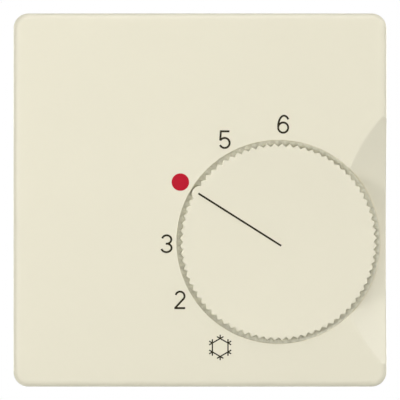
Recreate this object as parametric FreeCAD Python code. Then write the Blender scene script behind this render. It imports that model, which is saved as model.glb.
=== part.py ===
import FreeCAD, Part
import math
import os
from FreeCAD import Vector

# Surface-mounted room thermostat with a bimetal switch: a square moulded cover over a base that
# is screwed to the wall, and one toothed setting knob sunk into the lower right of the face.
#
# Every piece is drawn with the thermostat on its back: X right, Y up the wall, Z out of the wall.
# save() then stands it up, so that the finished part has +Z up, its face towards -Y and its origin
# at the middle of the base's back. Millimetres and degrees. Angles about the knob's axis count
# counter-clockwise from the right, as seen from the front.

# --- case -------------------------------------------------------------------------------------
case_width = 75.0
case_height = 75.0
case_depth = 25.5            # wall to the middle of the face
case_corner_radius = 3.0     # in plan
case_edge_radius = 1.3       # rolled edge from the face to the sides
case_draft = 0.1             # how far each side leans in over the depth
crown_rise = 0.55            # middle of the face above the middle of its sides
side_wall = 1.8
face_wall = 2.0
rim_to_wall = 0.3            # the cover stops short of the wall
moulding_gap = 0.35          # cover to base

# --- well of the knob -------------------------------------------------------------------------
knob_tip_radius = 19.7
knob_gap = 0.6               # tooth tips to the well
well_to_side = 1.5           # rim left between the well and the right side of the case
knob_below_centre = 8.4
well_depth = 6.9             # face to the well's floor
well_wall = 1.5
well_floor_thickness = 1.6
well_edge_radius = 0.25

# --- finger scoop at the right side -----------------------------------------------------------
scoop_sphere_radius = 64.0
scoop_outline_radius = 39.5  # where the sphere meets the face
scoop_beyond_side = 29.4     # sphere's centre, to the right of the side
scoop_backing = 1.7          # moulding left behind the scoop
scoop_edge_radius = 0.6

# --- louvres in the top and bottom sides ------------------------------------------------------
louvre_count = 11
louvre_pitch = 4.5
louvre_width = 1.6
louvre_length = 9.0
louvre_start = 10.5          # above the wall

# --- snap hooks, left side --------------------------------------------------------------------
hook_spacing = 36.0
hook_width = 7.0
hook_reach = 1.1
hook_thickness = 1.6
hook_level = 3.4
hook_clearance = 0.4

# --- knob -------------------------------------------------------------------------------------
tooth_count = 80
tooth_depth = 0.55
tooth_length = 1.2           # rim of the knob to the foot of its teeth
tooth_root = 0.1             # teeth sunk into the skirt
skirt_gap = 0.12             # plain skirt under the teeth, to the well
nose_teeth = 2               # teeth that the pointer's nose takes the place of
nose_reach = 0.35            # nose beyond the tooth tips
pointer_angle = 148.6        # towards the 20 degree mark
knob_proud = 0.35            # rim of the knob above the middle of the case's face
knob_dish = 0.65             # face of the knob below its rim
knob_rim_radius = 0.3
knob_wall = 1.5
knob_face_wall = 1.6
knob_above_floor = 0.45      # end of the skirt to the well's floor
knob_hub_wall = 1.15         # round the shaft
hub_below_well = 1.0         # hub's end under the well's floor
hub_hole_play = 0.56         # clip to the hole in the well's floor
hub_slot_width = 0.8
knob_clip_thickness = 0.4
knob_clip_width = 1.7
knob_clip_rise = 0.5         # clip above the hub's end
rib_thickness = 1.0
rib_count = 6
collar_outer_radius = 9.4
collar_wall = 1.2
collar_depth = 2.9

# --- range rings and their stop ---------------------------------------------------------------
ring_thickness = 0.8
ring_outer_radius = 12.4
ring_gap = 0.06
finger_radius = 15.6
finger_half_angle = 5.0
stop_inner_radius = 13.2
stop_outer_radius = 15.4
stop_half_angle = 6.0
stop_angle = 150.0
stop_clearance_angle = 1.0
stop_head_gap = 0.5          # stop to the underside of the knob
turn_colder = 90.0           # from the rest setting, counter-clockwise
turn_warmer = 60.0           # from the rest setting, clockwise

# --- base -------------------------------------------------------------------------------------
floor = 2.0
rim_wall = 1.6
rim_height = 8.0
base_corner_radius = 1.2
fixing_spacing = 60.0
fixing_slot_width = 4.2
fixing_slot_length = 7.0
fixing_pad_width = 8.4
fixing_pad_length = 14.4
fixing_pad_height = 0.6
entry_width = 17.0
entry_height = 12.0
entry_x = -3.5
entry_above_row = 9.75       # middle of the entry, above the terminal block
entry_corner_radius = 2.0
entry_lip = 1.0
entry_lip_height = 1.5

# --- setting spindle and its bearing ----------------------------------------------------------
spindle_radius = 3.0
spindle_flat = 2.2           # axis to the flat
running_fit = 0.05
slip_fit = 0.04
press_play = 0.02            # between pieces that are pressed or riveted together
bush_wall = 1.2
bush_flange_reach = 1.5      # flange beyond the bush
bush_flange = 0.8
boss_wall = 1.2              # round the clip's recess
boss_top = 9.0
clip_recess_depth = 2.6
clip_recess_play = 0.5
clip_thickness = 0.6
clip_reach = 1.5             # clip beyond the shaft
clip_groove_depth = 0.6
collar_reach = 2.0           # shoulder beyond the shaft
washer_thickness = 0.4
washer_wave = 0.1

# --- cam --------------------------------------------------------------------------------------
cam_level = 11.0
cam_thickness = 3.0
cam_base_radius = 8.9        # at the coldest setting
cam_hub_wall = 2.0
cam_hub_height = 1.5
lever_ratio = 0.009          # turn of the lever for each turn of the knob
follower_gap = 0.08

# --- lever ------------------------------------------------------------------------------------
pivot_left = 18.7            # pivot to the left of the spindle
pivot_above = 22.4           # pivot above the spindle
pivot_pin_radius = 1.5
pivot_boss_radius = 3.4
lever_level = 11.8
lever_thickness = 1.4
lever_hub_radius = 4.2
lever_hub_height = 0.5
pivot_boss_gap = 0.3
pin_clip_thickness = 0.6
pin_clip_reach = 1.3
follower_boss_radius = 2.3
follower_boss_length = 3.4
follower_reach = 3.2         # tip of the set screw beyond its boss
set_screw_radius = 1.2
set_screw_length = 9.5
set_screw_head_radius = 1.9
set_screw_head = 1.3
set_screw_slit = 0.5

# --- bimetal ----------------------------------------------------------------------------------
strip_from_wall = 9.75       # strip in from the base's left inner wall
strip_thickness = 0.8
strip_width = 9.0
strip_level = 9.2            # lower edge above the wall
strip_below_wall = 2.75      # top of the strip, down from the base's top inner wall
strip_beyond_contact = 3.5
tab_length = 8.5
tab_thickness = 1.5
tab_margin = 0.5             # tab inside the strip's edges
strip_play = 0.08            # strip to the tab and to the rivet heads
rivet_radius = 0.8
rivet_head_radius = 1.5
rivet_head = 0.7
rivet_play = 0.12
rivet_pitch = 4.2
rivet_rise = 2.1             # rivets above the strip's middle, clear of the lever's plate

# --- contacts and magnet ----------------------------------------------------------------------
contact_above_row = 5.75     # contacts above the terminal block
contact_radius = 1.8
contact_height = 1.2
contact_gap = 1.0            # open, at the rest setting
magnet_above_contact = 5.7
magnet_size = 4.4
magnet_air_gap = 1.2
armature_thickness = 0.8
bracket_thickness = 0.8
bracket_top = 17.0
bracket_above_magnet = 3.8   # its end, up from the magnet's middle

# --- terminals --------------------------------------------------------------------------------
terminal_count = 4
terminal_pitch = 8.0
terminal_first_left = 10.8   # first terminal's middle, in from the base's left inner wall
terminal_wall = 1.6
terminal_depth = 11.0
terminal_top = 12.0
terminal_floor = 2.0
clamp_height = 7.0
clamp_play = 0.15
wire_hole = 3.4
wire_level = 1.8             # wire hole above the clamp's underside
clamp_screw_radius = 1.35
clamp_screw_head_radius = 2.2
clamp_screw_head = 2.0
clamp_screw_raised = 0.4

# --- rails ------------------------------------------------------------------------------------
rail_thickness = 0.8
rail_width = 2.4
rail_spacing = 1.0
rail_play = 0.2
live_rail_below_strip = 5.0  # its lug, down from the top of the strip

# --- feedback resistor ------------------------------------------------------------------------
resistor_radius = 1.9
resistor_length = 10.0
resistor_end_bevel = 0.5
resistor_right = 5.0         # to the right of the strip
resistor_above_contact = 11.0
resistor_level = 7.0
lead_radius = 0.3
lead_free = 2.0

# --- lever spring -----------------------------------------------------------------------------
spring_above_pivot = 10.0
spring_level = 8.4
spring_radius = 1.9          # to the middle of the wire
spring_wire_radius = 0.3
spring_turns = 5
spring_runs = 12             # straight runs in each turn of the coil
spring_length = 9.6
spring_end_gap = 0.3
peg_radius = 1.1
peg_length = 1.8
spring_lug_thickness = 1.4
spring_lug_width = 5.4
spring_post_thickness = 3.0

# --- flexible lead ----------------------------------------------------------------------------
braid_radius = 0.6

# --- cover screw ------------------------------------------------------------------------------
screw_from_axis = 15.0
screw_angle = -60.0
screw_radius = 1.45
screw_head_radius = 2.7
screw_head = 1.7
screw_head_below_floor = 0.3
screw_play = 0.25
screw_boss_radius = 4.4
screw_boss_depth = 2.9
screw_engaged = 5.2          # length of screw in the insert
pillar_radius = 3.6
pillar_gap = 0.4
insert_radius = 2.2
insert_length = 5.5


# --- places worked out from the sizes ---------------------------------------------------------
half_width = case_width / 2
half_height = case_height / 2
well_radius = knob_tip_radius + knob_gap
knob_x = half_width - well_to_side - well_radius
knob_y = -knob_below_centre
axis = Vector(knob_x, knob_y, 0)
well_floor = case_depth - well_depth
well_underside = well_floor - well_floor_thickness
crown_radius = (half_width ** 2 + crown_rise ** 2) / (2 * crown_rise)

base_inset = side_wall + moulding_gap
base_half_width = half_width - base_inset
base_half_height = half_height - base_inset

knob_top = case_depth + knob_proud
knob_bottom = well_floor + knob_above_floor
knob_root_radius = knob_tip_radius - tooth_depth
skirt_radius = well_radius - skirt_gap
tooth_foot = knob_top - tooth_length
knob_roof = knob_top - knob_dish - knob_face_wall
dish_edge_radius = knob_root_radius - knob_rim_radius
dish_sphere_radius = (dish_edge_radius ** 2 + knob_dish ** 2) / (2 * knob_dish)

cam_top = cam_level + cam_thickness
cam_hub_top = cam_top + cam_hub_height
hub_bottom = well_underside - hub_below_well
spindle_top = knob_roof - 0.4
bush_radius = spindle_radius + running_fit + bush_wall
bush_flange_radius = bush_radius + bush_flange_reach
clip_recess_radius = spindle_radius + clip_reach + clip_recess_play
collar_radius = spindle_radius + collar_reach
cam_hub_radius = spindle_radius + cam_hub_wall
knob_hub_radius = spindle_radius + running_fit + knob_hub_wall
hub_hole_radius = knob_hub_radius + slip_fit + knob_clip_thickness + hub_hole_play
boss_radius = clip_recess_radius + boss_wall
washer_level = boss_top + bush_flange

pivot = Vector(knob_x - pivot_left, knob_y + pivot_above, 0)
cam_lift_per_degree = pivot_above * math.radians(lever_ratio)
cam_rest_radius = cam_base_radius + cam_lift_per_degree * turn_colder
follower_tip = knob_x - cam_rest_radius - follower_gap
follower_level = cam_level + cam_thickness / 2

base_left = rim_wall - base_half_width
base_top = base_half_height - rim_wall
terminal_bottom = rim_wall - base_half_height
terminal_row_top = terminal_bottom + terminal_depth
entry_y = terminal_row_top + entry_above_row

strip_x = base_left + strip_from_wall
strip_top = base_top - strip_below_wall
contact_y = terminal_row_top + contact_above_row
magnet_y = contact_y + magnet_above_contact
resistor_y = contact_y + resistor_above_contact
strip_tip = contact_y - strip_beyond_contact
strip_left_face = strip_x - strip_thickness / 2
strip_right_face = strip_x + strip_thickness / 2
strip_middle_level = strip_level + strip_width / 2
rivet_level = strip_middle_level + rivet_rise
tab_bottom = strip_top - tab_length
tab_left_face = strip_right_face + strip_play
tab_right_face = tab_left_face + tab_thickness
bracket_face = strip_left_face - 2 * contact_height - contact_gap


def polar(angle, radius, level=0.0):
    """Point at an angle and radius about the knob's axis."""
    a = math.radians(angle)
    return Vector(knob_x + radius * math.cos(a), knob_y + radius * math.sin(a), level)


# --- building blocks --------------------------------------------------------------------------
def rounded_wire(width, height, radius, level, x=0.0, y=0.0):
    """Rectangle with round corners, as a closed wire."""
    w = width / 2 - radius
    h = height / 2 - radius
    corners = [(w, h, 0), (-w, h, 90), (-w, -h, 180), (w, -h, 270)]
    edges = []
    ends = []
    for cx, cy, start in corners:
        points = []
        for turn in (0, 45, 90):
            a = math.radians(start + turn)
            points.append(Vector(x + cx + radius * math.cos(a),
                                 y + cy + radius * math.sin(a), level))
        edges.append(Part.Arc(*points).toShape())
        ends.append((points[0], points[2]))
        if len(ends) > 1:
            edges.insert(-1, Part.makeLine(ends[-2][1], ends[-1][0]))
    edges.append(Part.makeLine(ends[-1][1], ends[0][0]))
    return Part.Wire(edges)


def prism(wire, height):
    """Solid that stands on a flat wire."""
    return Part.Face(wire).extrude(Vector(0, 0, height))


def box(x0, x1, y0, y1, z0, z1):
    return Part.makeBox(x1 - x0, y1 - y0, z1 - z0, Vector(x0, y0, z0))


def rod(centre, radius, z0, z1):
    """Round bar along Z."""
    return Part.makeCylinder(radius, z1 - z0, Vector(centre.x, centre.y, z0))


def rod_x(x0, x1, y, z, radius):
    """Round bar along X."""
    return Part.makeCylinder(radius, x1 - x0, Vector(x0, y, z), Vector(1, 0, 0))


def tube(centre, outer, inner, z0, z1):
    return rod(centre, outer, z0, z1).cut(rod(centre, inner, z0 - 1, z1 + 1))


def turned(centre, profile):
    """Solid of revolution about the Z line through centre; profile holds (radius, level)."""
    points = [Vector(centre.x + r, centre.y, z) for r, z in profile]
    face = Part.Face(Part.makePolygon(points + points[:1]))
    return face.revolve(Vector(centre.x, centre.y, 0), Vector(0, 0, 1), 360)


def slot(x, y, length, width, z0, z1, along_x=True):
    """Round-ended bar lying along X or Y."""
    span = (length - width) / 2
    step = Vector(span, 0, 0) if along_x else Vector(0, span, 0)
    middle = Vector(x, y, 0)
    ends = rod(middle - step, width / 2, z0, z1).fuse(rod(middle + step, width / 2, z0, z1))
    dx, dy = (span, width / 2) if along_x else (width / 2, span)
    return ends.fuse(box(x - dx, x + dx, y - dy, y + dy, z0, z1)).removeSplitter()


def link(p, p_radius, q, q_radius, z0, z1):
    """Flat bar with two round ends, its sides tangent to both."""
    run = q - p
    distance = math.hypot(run.x, run.y)
    heading = math.atan2(run.y, run.x)
    lean = math.acos((p_radius - q_radius) / distance)
    corners = []
    for centre, radius, side in ((p, p_radius, 1), (q, q_radius, 1), (q, q_radius, -1), (p, p_radius, -1)):
        a = heading + side * lean
        corners.append(Vector(centre.x + radius * math.cos(a), centre.y + radius * math.sin(a), z0))
    web = prism(Part.makePolygon(corners + corners[:1]), z1 - z0)
    return web.fuse([rod(p, p_radius, z0, z1), rod(q, q_radius, z0, z1)]).removeSplitter()


def sector(inner, outer, middle_angle, half_angle, z0, z1):
    """Piece of a ring about the knob's axis."""
    a0, a1 = middle_angle - half_angle, middle_angle + half_angle
    rim = Part.Arc(polar(a0, outer, z0), polar(middle_angle, outer, z0), polar(a1, outer, z0)).toShape()
    back = Part.Arc(polar(a1, inner, z0), polar(middle_angle, inner, z0), polar(a0, inner, z0)).toShape()
    sides = [Part.makeLine(polar(a1, outer, z0), polar(a1, inner, z0)),
             Part.makeLine(polar(a0, inner, z0), polar(a0, outer, z0))]
    return prism(Part.Wire([rim, sides[0], back, sides[1]]), z1 - z0)


def wire_run(points, radius):
    """Round wire through points, with ball-shaped elbows."""
    parts = []
    for p, q in zip(points, points[1:]):
        parts.append(Part.makeCylinder(radius, (q - p).Length, p, q - p))
    for p in points[1:-1]:
        parts.append(Part.makeSphere(radius, p))
    return parts[0].fuse(parts[1:])


def d_shaft(radius, flat, z0, z1):
    """Round bar on the knob's axis with one flat, which faces right."""
    return rod(axis, radius, z0, z1).cut(
        box(knob_x + flat, knob_x + radius + 1, knob_y - radius, knob_y + radius, z0, z1))


def open_ring(centre, outer, inner, z0, z1, gap_angle):
    """Retaining clip: a flat ring with a gap that opens at gap_angle."""
    ring = tube(centre, outer, inner, z0, z1)
    mouth = box(centre.x, centre.x + outer + 1, centre.y - inner * 0.6, centre.y + inner * 0.6, z0, z1)
    mouth.rotate(centre, Vector(0, 0, 1), gap_angle)
    return ring.cut(mouth)


def ball(radius, centre):
    """Sphere whose poles and seam lie to its sides, clear of the faces that it shapes."""
    sphere = Part.makeSphere(radius, centre, Vector(1, 0, 0))
    sphere.rotate(centre, Vector(1, 0, 0), 90)
    return sphere


def drafted_block(width, height, lean, radius, z0, z1):
    """Square block with flat sides that lean in towards the front, its upright edges rounded."""
    x, y = width / 2, height / 2
    block = Part.makeWedge(-x, z0, -y, lean - y, lean - x, x, z1, y, y - lean, x - lean)
    block.rotate(Vector(0, 0, 0), Vector(1, 0, 0), 90)
    uprights = [e for e in block.Edges if e.BoundBox.ZLength > (z1 - z0) / 2]
    return block.makeFillet(radius, uprights)


def save(name, *solids):
    """Stand a piece up and write it as one node."""
    shape = solids[0] if len(solids) == 1 else Part.makeCompound(list(solids))
    shape = shape.copy()
    shape.rotate(Vector(0, 0, 0), Vector(1, 0, 0), 90)
    shape.exportStep("parts/" + name + ".step")


# --- cover ------------------------------------------------------------------------------------
def case_form(side_inset, face_inset, bottom):
    """Outside of the case, drawn in at the sides and at the face."""
    radius = case_corner_radius - side_inset * (case_corner_radius - base_corner_radius) / side_wall
    lean = case_draft * (case_depth - bottom) / case_depth
    width = case_width - 2 * side_inset
    height = case_height - 2 * side_inset
    sides = drafted_block(width, height, lean, radius, bottom, case_depth)
    crown = ball(crown_radius - face_inset, Vector(0, 0, case_depth - crown_radius))
    return sides.common(crown)


def scoop_ball(extra=0.0):
    """Ball whose cap hollows the right side of the face."""
    rise = math.sqrt(scoop_sphere_radius ** 2 - scoop_outline_radius ** 2)
    edge_level = case_depth - crown_rise
    centre = Vector(half_width + scoop_beyond_side, knob_y, edge_level + rise)
    return ball(scoop_sphere_radius + extra, centre)


def face_edges(shape, bottom_level):
    """Edges round the face of the case, where it meets the sides."""
    found = []
    for edge in shape.Edges:
        reach = edge.BoundBox
        if reach.ZMin > bottom_level:
            found.append(edge)
    return found


def well_edges(shape):
    """Edges of the well's mouth."""
    found = []
    for edge in shape.Edges:
        if edge.BoundBox.ZMin < well_floor + 0.5 or edge.BoundBox.DiagonalLength < well_edge_radius:
            continue
        samples = edge.discretize(5)
        if all(abs(math.hypot(p.x - knob_x, p.y - knob_y) - well_radius) < 0.01 for p in samples):
            found.append(edge)
    return found


def scoop_side_edges(shape):
    """Edge where the scoop runs out through the right side."""
    found = []
    for edge in shape.Edges:
        reach = edge.BoundBox
        right = reach.XMin > half_width - case_draft - 0.3
        if right and reach.ZMin > well_underside and reach.YLength > half_height / 3:
            found.append(edge)
    return found


def louvres():
    """Upright slots through the top and bottom sides."""
    cuts = []
    first = -(louvre_count - 1) / 2 * louvre_pitch
    for i in range(louvre_count):
        bar = slot(0, 0, louvre_length, louvre_width, 0, 2 * half_height + 10, along_x=False)
        bar.rotate(Vector(0, 0, 0), Vector(1, 0, 0), 90)
        bar.translate(Vector(first + i * louvre_pitch, half_height + 5, louvre_start + louvre_length / 2))
        cuts.append(bar)
    inner = half_height - side_wall - 0.4
    return Part.makeCompound(cuts).cut(box(-half_width, half_width, -inner, inner, 0, case_depth))


def cover_hooks():
    """Ledges on the left side's inner face that snap into the base's rim."""
    hooks = []
    root = side_wall - half_width - 0.2
    tip = side_wall - half_width + hook_reach
    for y in (-hook_spacing / 2, hook_spacing / 2):
        ledge = box(root, tip, y - hook_width / 2, y + hook_width / 2,
                    hook_level, hook_level + hook_thickness)
        nose = [e for e in ledge.Edges
                if e.BoundBox.ZMax < hook_level + 0.01 and e.BoundBox.XMin > tip - 0.01]
        hooks.append(ledge.makeChamfer(hook_thickness * 0.5, nose))
    return hooks


def screw_place():
    return polar(screw_angle, screw_from_axis)


def front_cover():
    outside = case_form(0, 0, rim_to_wall)
    level = case_depth - crown_rise - 2 * case_edge_radius
    outside = outside.makeFillet(case_edge_radius, face_edges(outside, level))

    cup = rod(axis, well_radius + well_wall, well_underside, case_depth + 5)
    here = screw_place()
    screw_boss = rod(here, screw_boss_radius, well_underside - screw_boss_depth, well_floor)
    hollow = case_form(side_wall, face_wall, rim_to_wall - 1)
    hollow = hollow.cut(scoop_ball(scoop_backing)).cut(cup).cut(screw_boss)

    cover = outside.cut(hollow)
    cover = cover.cut(rod(axis, well_radius, well_floor, case_depth + 5))
    cover = cover.cut(scoop_ball())
    cover = cover.makeFillet(scoop_edge_radius, scoop_side_edges(cover))
    cover = cover.makeFillet(well_edge_radius, well_edges(cover))

    head_seat = well_floor - screw_head_below_floor - screw_head
    cover = cover.cut(rod(axis, hub_hole_radius, well_underside - 1, well_floor + 1))
    cover = cover.cut(rod(here, screw_head_radius + screw_play, head_seat, well_floor + 1))
    cover = cover.cut(rod(here, screw_radius + screw_play, well_underside - screw_boss_depth - 1, head_seat))
    cover = cover.cut(louvres())
    stop_top = knob_roof - stop_head_gap
    stop = sector(stop_inner_radius, stop_outer_radius, stop_angle, stop_half_angle,
                  well_floor - 0.2, stop_top)
    return cover.fuse([stop] + cover_hooks()).removeSplitter()


# --- knob -------------------------------------------------------------------------------------
def toothed_outline(level):
    """Saw-toothed circle with a round nose where the pointer ends."""
    pitch = 360.0 / tooth_count
    half_nose = nose_teeth * pitch / 2
    start = pointer_angle + half_nose
    plain_teeth = tooth_count - nose_teeth
    points = []
    for i in range(plain_teeth):
        points.append(polar(start + i * pitch, knob_root_radius, level))
        points.append(polar(start + (i + 0.5) * pitch, knob_tip_radius, level))
    points.append(polar(start + plain_teeth * pitch, knob_root_radius, level))
    edges = [Part.makeLine(p, q) for p, q in zip(points, points[1:])]
    nose_tip = polar(pointer_angle, knob_tip_radius + nose_reach, level)
    edges.append(Part.Arc(points[-1], nose_tip, points[0]).toShape())
    return Part.Wire(edges)


def knob_blank():
    """Dished disc with a rounded rim, as deep as the teeth."""
    disc = rod(axis, skirt_radius, tooth_foot - tooth_root, knob_top)
    disc = disc.makeFillet(knob_rim_radius, [e for e in disc.Edges if e.BoundBox.ZMin > knob_top - 0.01])
    dish_centre = Vector(knob_x, knob_y, knob_top - knob_dish + dish_sphere_radius)
    return disc.cut(ball(dish_sphere_radius, dish_centre))


def control_knob():
    teeth_bottom = tooth_foot - tooth_root
    teeth = knob_blank().common(prism(toothed_outline(teeth_bottom), tooth_length + 1))
    knob = teeth.fuse(rod(axis, skirt_radius, knob_bottom, tooth_foot))
    knob = knob.cut(rod(axis, skirt_radius - knob_wall, knob_bottom - 1, knob_roof))
    collar = tube(axis, collar_outer_radius, collar_outer_radius - collar_wall,
                  knob_roof - collar_depth, knob_roof)
    hub = rod(axis, knob_hub_radius, hub_bottom, knob_roof)
    additions = [collar, hub]
    for i in range(rib_count):
        rib = box(knob_x + knob_hub_radius - 0.5, knob_x + collar_outer_radius - collar_wall / 2,
                  knob_y - rib_thickness / 2, knob_y + rib_thickness / 2, knob_roof - collar_depth, knob_roof)
        rib.rotate(axis, Vector(0, 0, 1), 30 + i * 360 / rib_count)
        additions.append(rib)
    knob = knob.fuse(additions)
    bore = d_shaft(spindle_radius + running_fit, spindle_flat + running_fit,
                   hub_bottom - 1, spindle_top + 0.2)
    split = box(knob_x - knob_hub_radius - 1, knob_x + knob_hub_radius + 1, knob_y - hub_slot_width / 2,
                knob_y + hub_slot_width / 2, hub_bottom - 1, knob_roof - collar_depth - 0.4)
    return knob.cut(bore).cut(split).removeSplitter()


def knob_clip():
    """Spring ring that closes the split hub on the shaft."""
    inner = knob_hub_radius + slip_fit
    return open_ring(axis, inner + knob_clip_thickness, inner,
                     hub_bottom + knob_clip_rise, hub_bottom + knob_clip_rise + knob_clip_width, 90)


def range_ring(level, finger_angle):
    ring = tube(axis, ring_outer_radius, collar_outer_radius + ring_gap, level, level + ring_thickness)
    finger = sector(ring_outer_radius - 0.5, finger_radius, finger_angle, finger_half_angle,
                    level, level + ring_thickness)
    return ring.fuse(finger).removeSplitter()


def range_rings():
    """The ring for the lowest setting and the ring for the highest, one above the other."""
    reach = stop_half_angle + finger_half_angle + stop_clearance_angle
    upper = knob_roof - ring_gap - ring_thickness
    lower = upper - ring_gap - ring_thickness
    lowest = range_ring(upper, stop_angle - turn_colder - reach)
    highest = range_ring(lower, stop_angle + turn_warmer + reach)
    return lowest, highest


# --- spindle ----------------------------------------------------------------------------------
collar_level = washer_level + washer_thickness + 2 * washer_wave
spindle_foot = clip_recess_depth - clip_thickness - 2 * 0.3 - 0.5
clip_level = clip_recess_depth - 0.3 - clip_thickness


def spindle():
    shaft = rod(axis, spindle_radius, spindle_foot, collar_level)
    groove = tube(axis, spindle_radius + 1, spindle_radius - clip_groove_depth,
                  clip_level - slip_fit, clip_level + clip_thickness + slip_fit)
    shaft = shaft.cut(groove)
    shoulder = rod(axis, collar_radius, collar_level, cam_level)
    upper = d_shaft(spindle_radius, spindle_flat, cam_level, spindle_top)
    shaft = shaft.fuse([shoulder, upper])
    top_edges = [e for e in shaft.Edges if e.BoundBox.ZMin > spindle_top - 0.01]
    return shaft.makeChamfer(0.3, top_edges)


def spindle_clip():
    return open_ring(axis, spindle_radius + clip_reach, spindle_radius - clip_groove_depth + slip_fit,
                     clip_level, clip_level + clip_thickness, 200)


def spindle_bush():
    profile_inner = spindle_radius + running_fit
    flange = tube(axis, bush_flange_radius, profile_inner, boss_top, boss_top + bush_flange)
    sleeve = tube(axis, bush_radius, profile_inner, clip_recess_depth, boss_top)
    return flange.fuse(sleeve).removeSplitter()


def friction_washer():
    """Thin ring, shallowly coned so that it presses under the spindle's shoulder."""
    inner = spindle_radius + 0.1
    outer = collar_radius
    low = washer_level + washer_wave / 2
    high = low + washer_wave
    return turned(axis, [(inner, high), (outer, low), (outer, low + washer_thickness),
                         (inner, high + washer_thickness)])


def setting_cam():
    """Spiral cam: its left side grows as the knob turns warmer."""
    rest_angle = 180.0
    begin = rest_angle - turn_colder - 12
    end = rest_angle + turn_warmer + 12
    steps = 14
    rise = []
    for i in range(steps + 1):
        a = begin + (end - begin) * i / steps
        rise.append(polar(a, cam_rest_radius + cam_lift_per_degree * (a - rest_angle), cam_level))
    spiral = Part.BSplineCurve()
    spiral.interpolate(rise)
    back_angle = (end + begin + 360) / 2
    return_arc = Part.Arc(rise[-1], polar(back_angle, cam_base_radius - 0.6, cam_level), rise[0])
    disc = prism(Part.Wire([spiral.toShape(), return_arc.toShape()]), cam_thickness)
    cam = disc.fuse(rod(axis, cam_hub_radius, cam_top, cam_hub_top)).removeSplitter()
    bore = d_shaft(spindle_radius + slip_fit, spindle_flat + slip_fit, cam_level - 1, cam_hub_top + 1)
    return cam.cut(bore)


# --- base -------------------------------------------------------------------------------------
row_left = base_left + terminal_first_left


def terminal_x(index):
    return row_left + index * terminal_pitch


def pillar_levels():
    top = well_underside - screw_boss_depth - pillar_gap
    return floor, top


def terminal_block():
    """Row of open pockets, each with a gap through which a wire comes down from above."""
    left = terminal_x(0) - terminal_pitch / 2 - terminal_wall / 2
    right = terminal_x(terminal_count - 1) + terminal_pitch / 2 + terminal_wall / 2
    block = box(left, right, terminal_bottom - 0.1, terminal_row_top, floor, terminal_top)
    pocket = (terminal_pitch - terminal_wall) / 2
    for i in range(terminal_count):
        x = terminal_x(i)
        block = block.cut(box(x - pocket, x + pocket, terminal_bottom + terminal_wall / 2,
                              terminal_row_top - terminal_wall, terminal_floor, terminal_top + 1))
        gap = rail_width / 2 + 0.6
        block = block.cut(box(x - gap, x + gap, terminal_row_top - terminal_wall - 1,
                              terminal_row_top + 1, terminal_floor, terminal_top + 1))
    return block


def spring_post():
    """Upright on the base with a peg for the spring."""
    x = pivot.x + spring_start() + spring_length + spring_end_gap
    y = pivot.y + spring_above_pivot
    post = box(x, x + spring_post_thickness, y - spring_lug_width / 2, y + spring_lug_width / 2,
               floor - 0.1, spring_level + spring_radius + 0.6)
    peg = rod_x(x - peg_length, x + 0.5, y, spring_level, peg_radius)
    return post.fuse(peg)


def spring_start():
    """Seat of the spring on the lever, right of the pivot."""
    return 3.2


def fixing_pad(side):
    """Raised seat for the head of a wall screw, kept inside the rim and off the rails."""
    pad = slot(side * fixing_spacing / 2, 0, fixing_pad_length, fixing_pad_width,
               floor - 0.1, floor + fixing_pad_height)
    pad = pad.common(box(base_left - 0.5, 0.5 - base_left, -half_height, half_height, 0, case_depth))
    live_x = terminal_x(1)
    live = box(live_x - rail_width / 2 - rail_play, live_x + rail_width / 2 + rail_play,
               terminal_row_top, live_rail_top, floor, case_depth)
    load = box(bracket_face - rail_width - rail_play, bracket_face + rail_play,
               terminal_row_top, magnet_y + bracket_above_magnet + rail_play, floor, case_depth)
    return pad.cut(live).cut(load)


def base_plate():
    width = 2 * base_half_width
    height = 2 * base_half_height
    plate = prism(rounded_wire(width, height, base_corner_radius, 0), rim_height)
    inner = rounded_wire(width - 2 * rim_wall, height - 2 * rim_wall, 0.8, floor)
    plate = plate.cut(prism(inner, rim_height))

    low, pillar_top = pillar_levels()
    here = screw_place()
    entry = rounded_wire(entry_width + 2 * entry_lip, entry_height + 2 * entry_lip,
                         entry_corner_radius + entry_lip, floor - 0.1, entry_x, entry_y)
    raised = [
        rod(axis, boss_radius, floor - 0.1, boss_top),
        rod(here, pillar_radius, low - 0.1, pillar_top),
        rod(pivot, pivot_boss_radius, floor - 0.1, lever_level - lever_hub_height - pivot_boss_gap),
        prism(entry, entry_lip_height + 0.1),
        terminal_block(),
        spring_post(),
        box(bracket_face - 4.2, bracket_face - bracket_thickness, magnet_y - 3, magnet_y + 4,
            floor - 0.1, bracket_top - 5),
    ]
    plate = plate.fuse(raised + [fixing_pad(side) for side in (-1, 1)])

    plate = plate.cut(rod(axis, bush_radius + press_play, clip_recess_depth, boss_top + 1))
    plate = plate.cut(rod(axis, clip_recess_radius, -1, clip_recess_depth))
    plate = plate.cut(rod(here, insert_radius + press_play, pillar_top - insert_length, pillar_top + 1))
    plate = plate.cut(rod(here, screw_radius + screw_play, floor + 1, pillar_top))
    plate = plate.cut(rod(pivot, pivot_pin_radius + 0.01, floor + 1, lever_level))
    hole = rounded_wire(entry_width, entry_height, entry_corner_radius, -1, entry_x, entry_y)
    plate = plate.cut(prism(hole, floor + entry_lip_height + 2))
    for side in (-1, 1):
        plate = plate.cut(slot(side * fixing_spacing / 2, 0, fixing_slot_length, fixing_slot_width,
                               -1, floor + 2))
    for y in (-hook_spacing / 2, hook_spacing / 2):
        plate = plate.cut(box(-base_half_width - 1, rim_wall - base_half_width + 0.01,
                              y - hook_width / 2 - hook_clearance, y + hook_width / 2 + hook_clearance,
                              hook_level - hook_clearance, hook_level + hook_thickness + hook_clearance))
    return plate.removeSplitter()


def cover_nut():
    low, top = pillar_levels()
    return tube(screw_place(), insert_radius, screw_radius + 0.05, top - insert_length + 0.02, top - 0.1)


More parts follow.
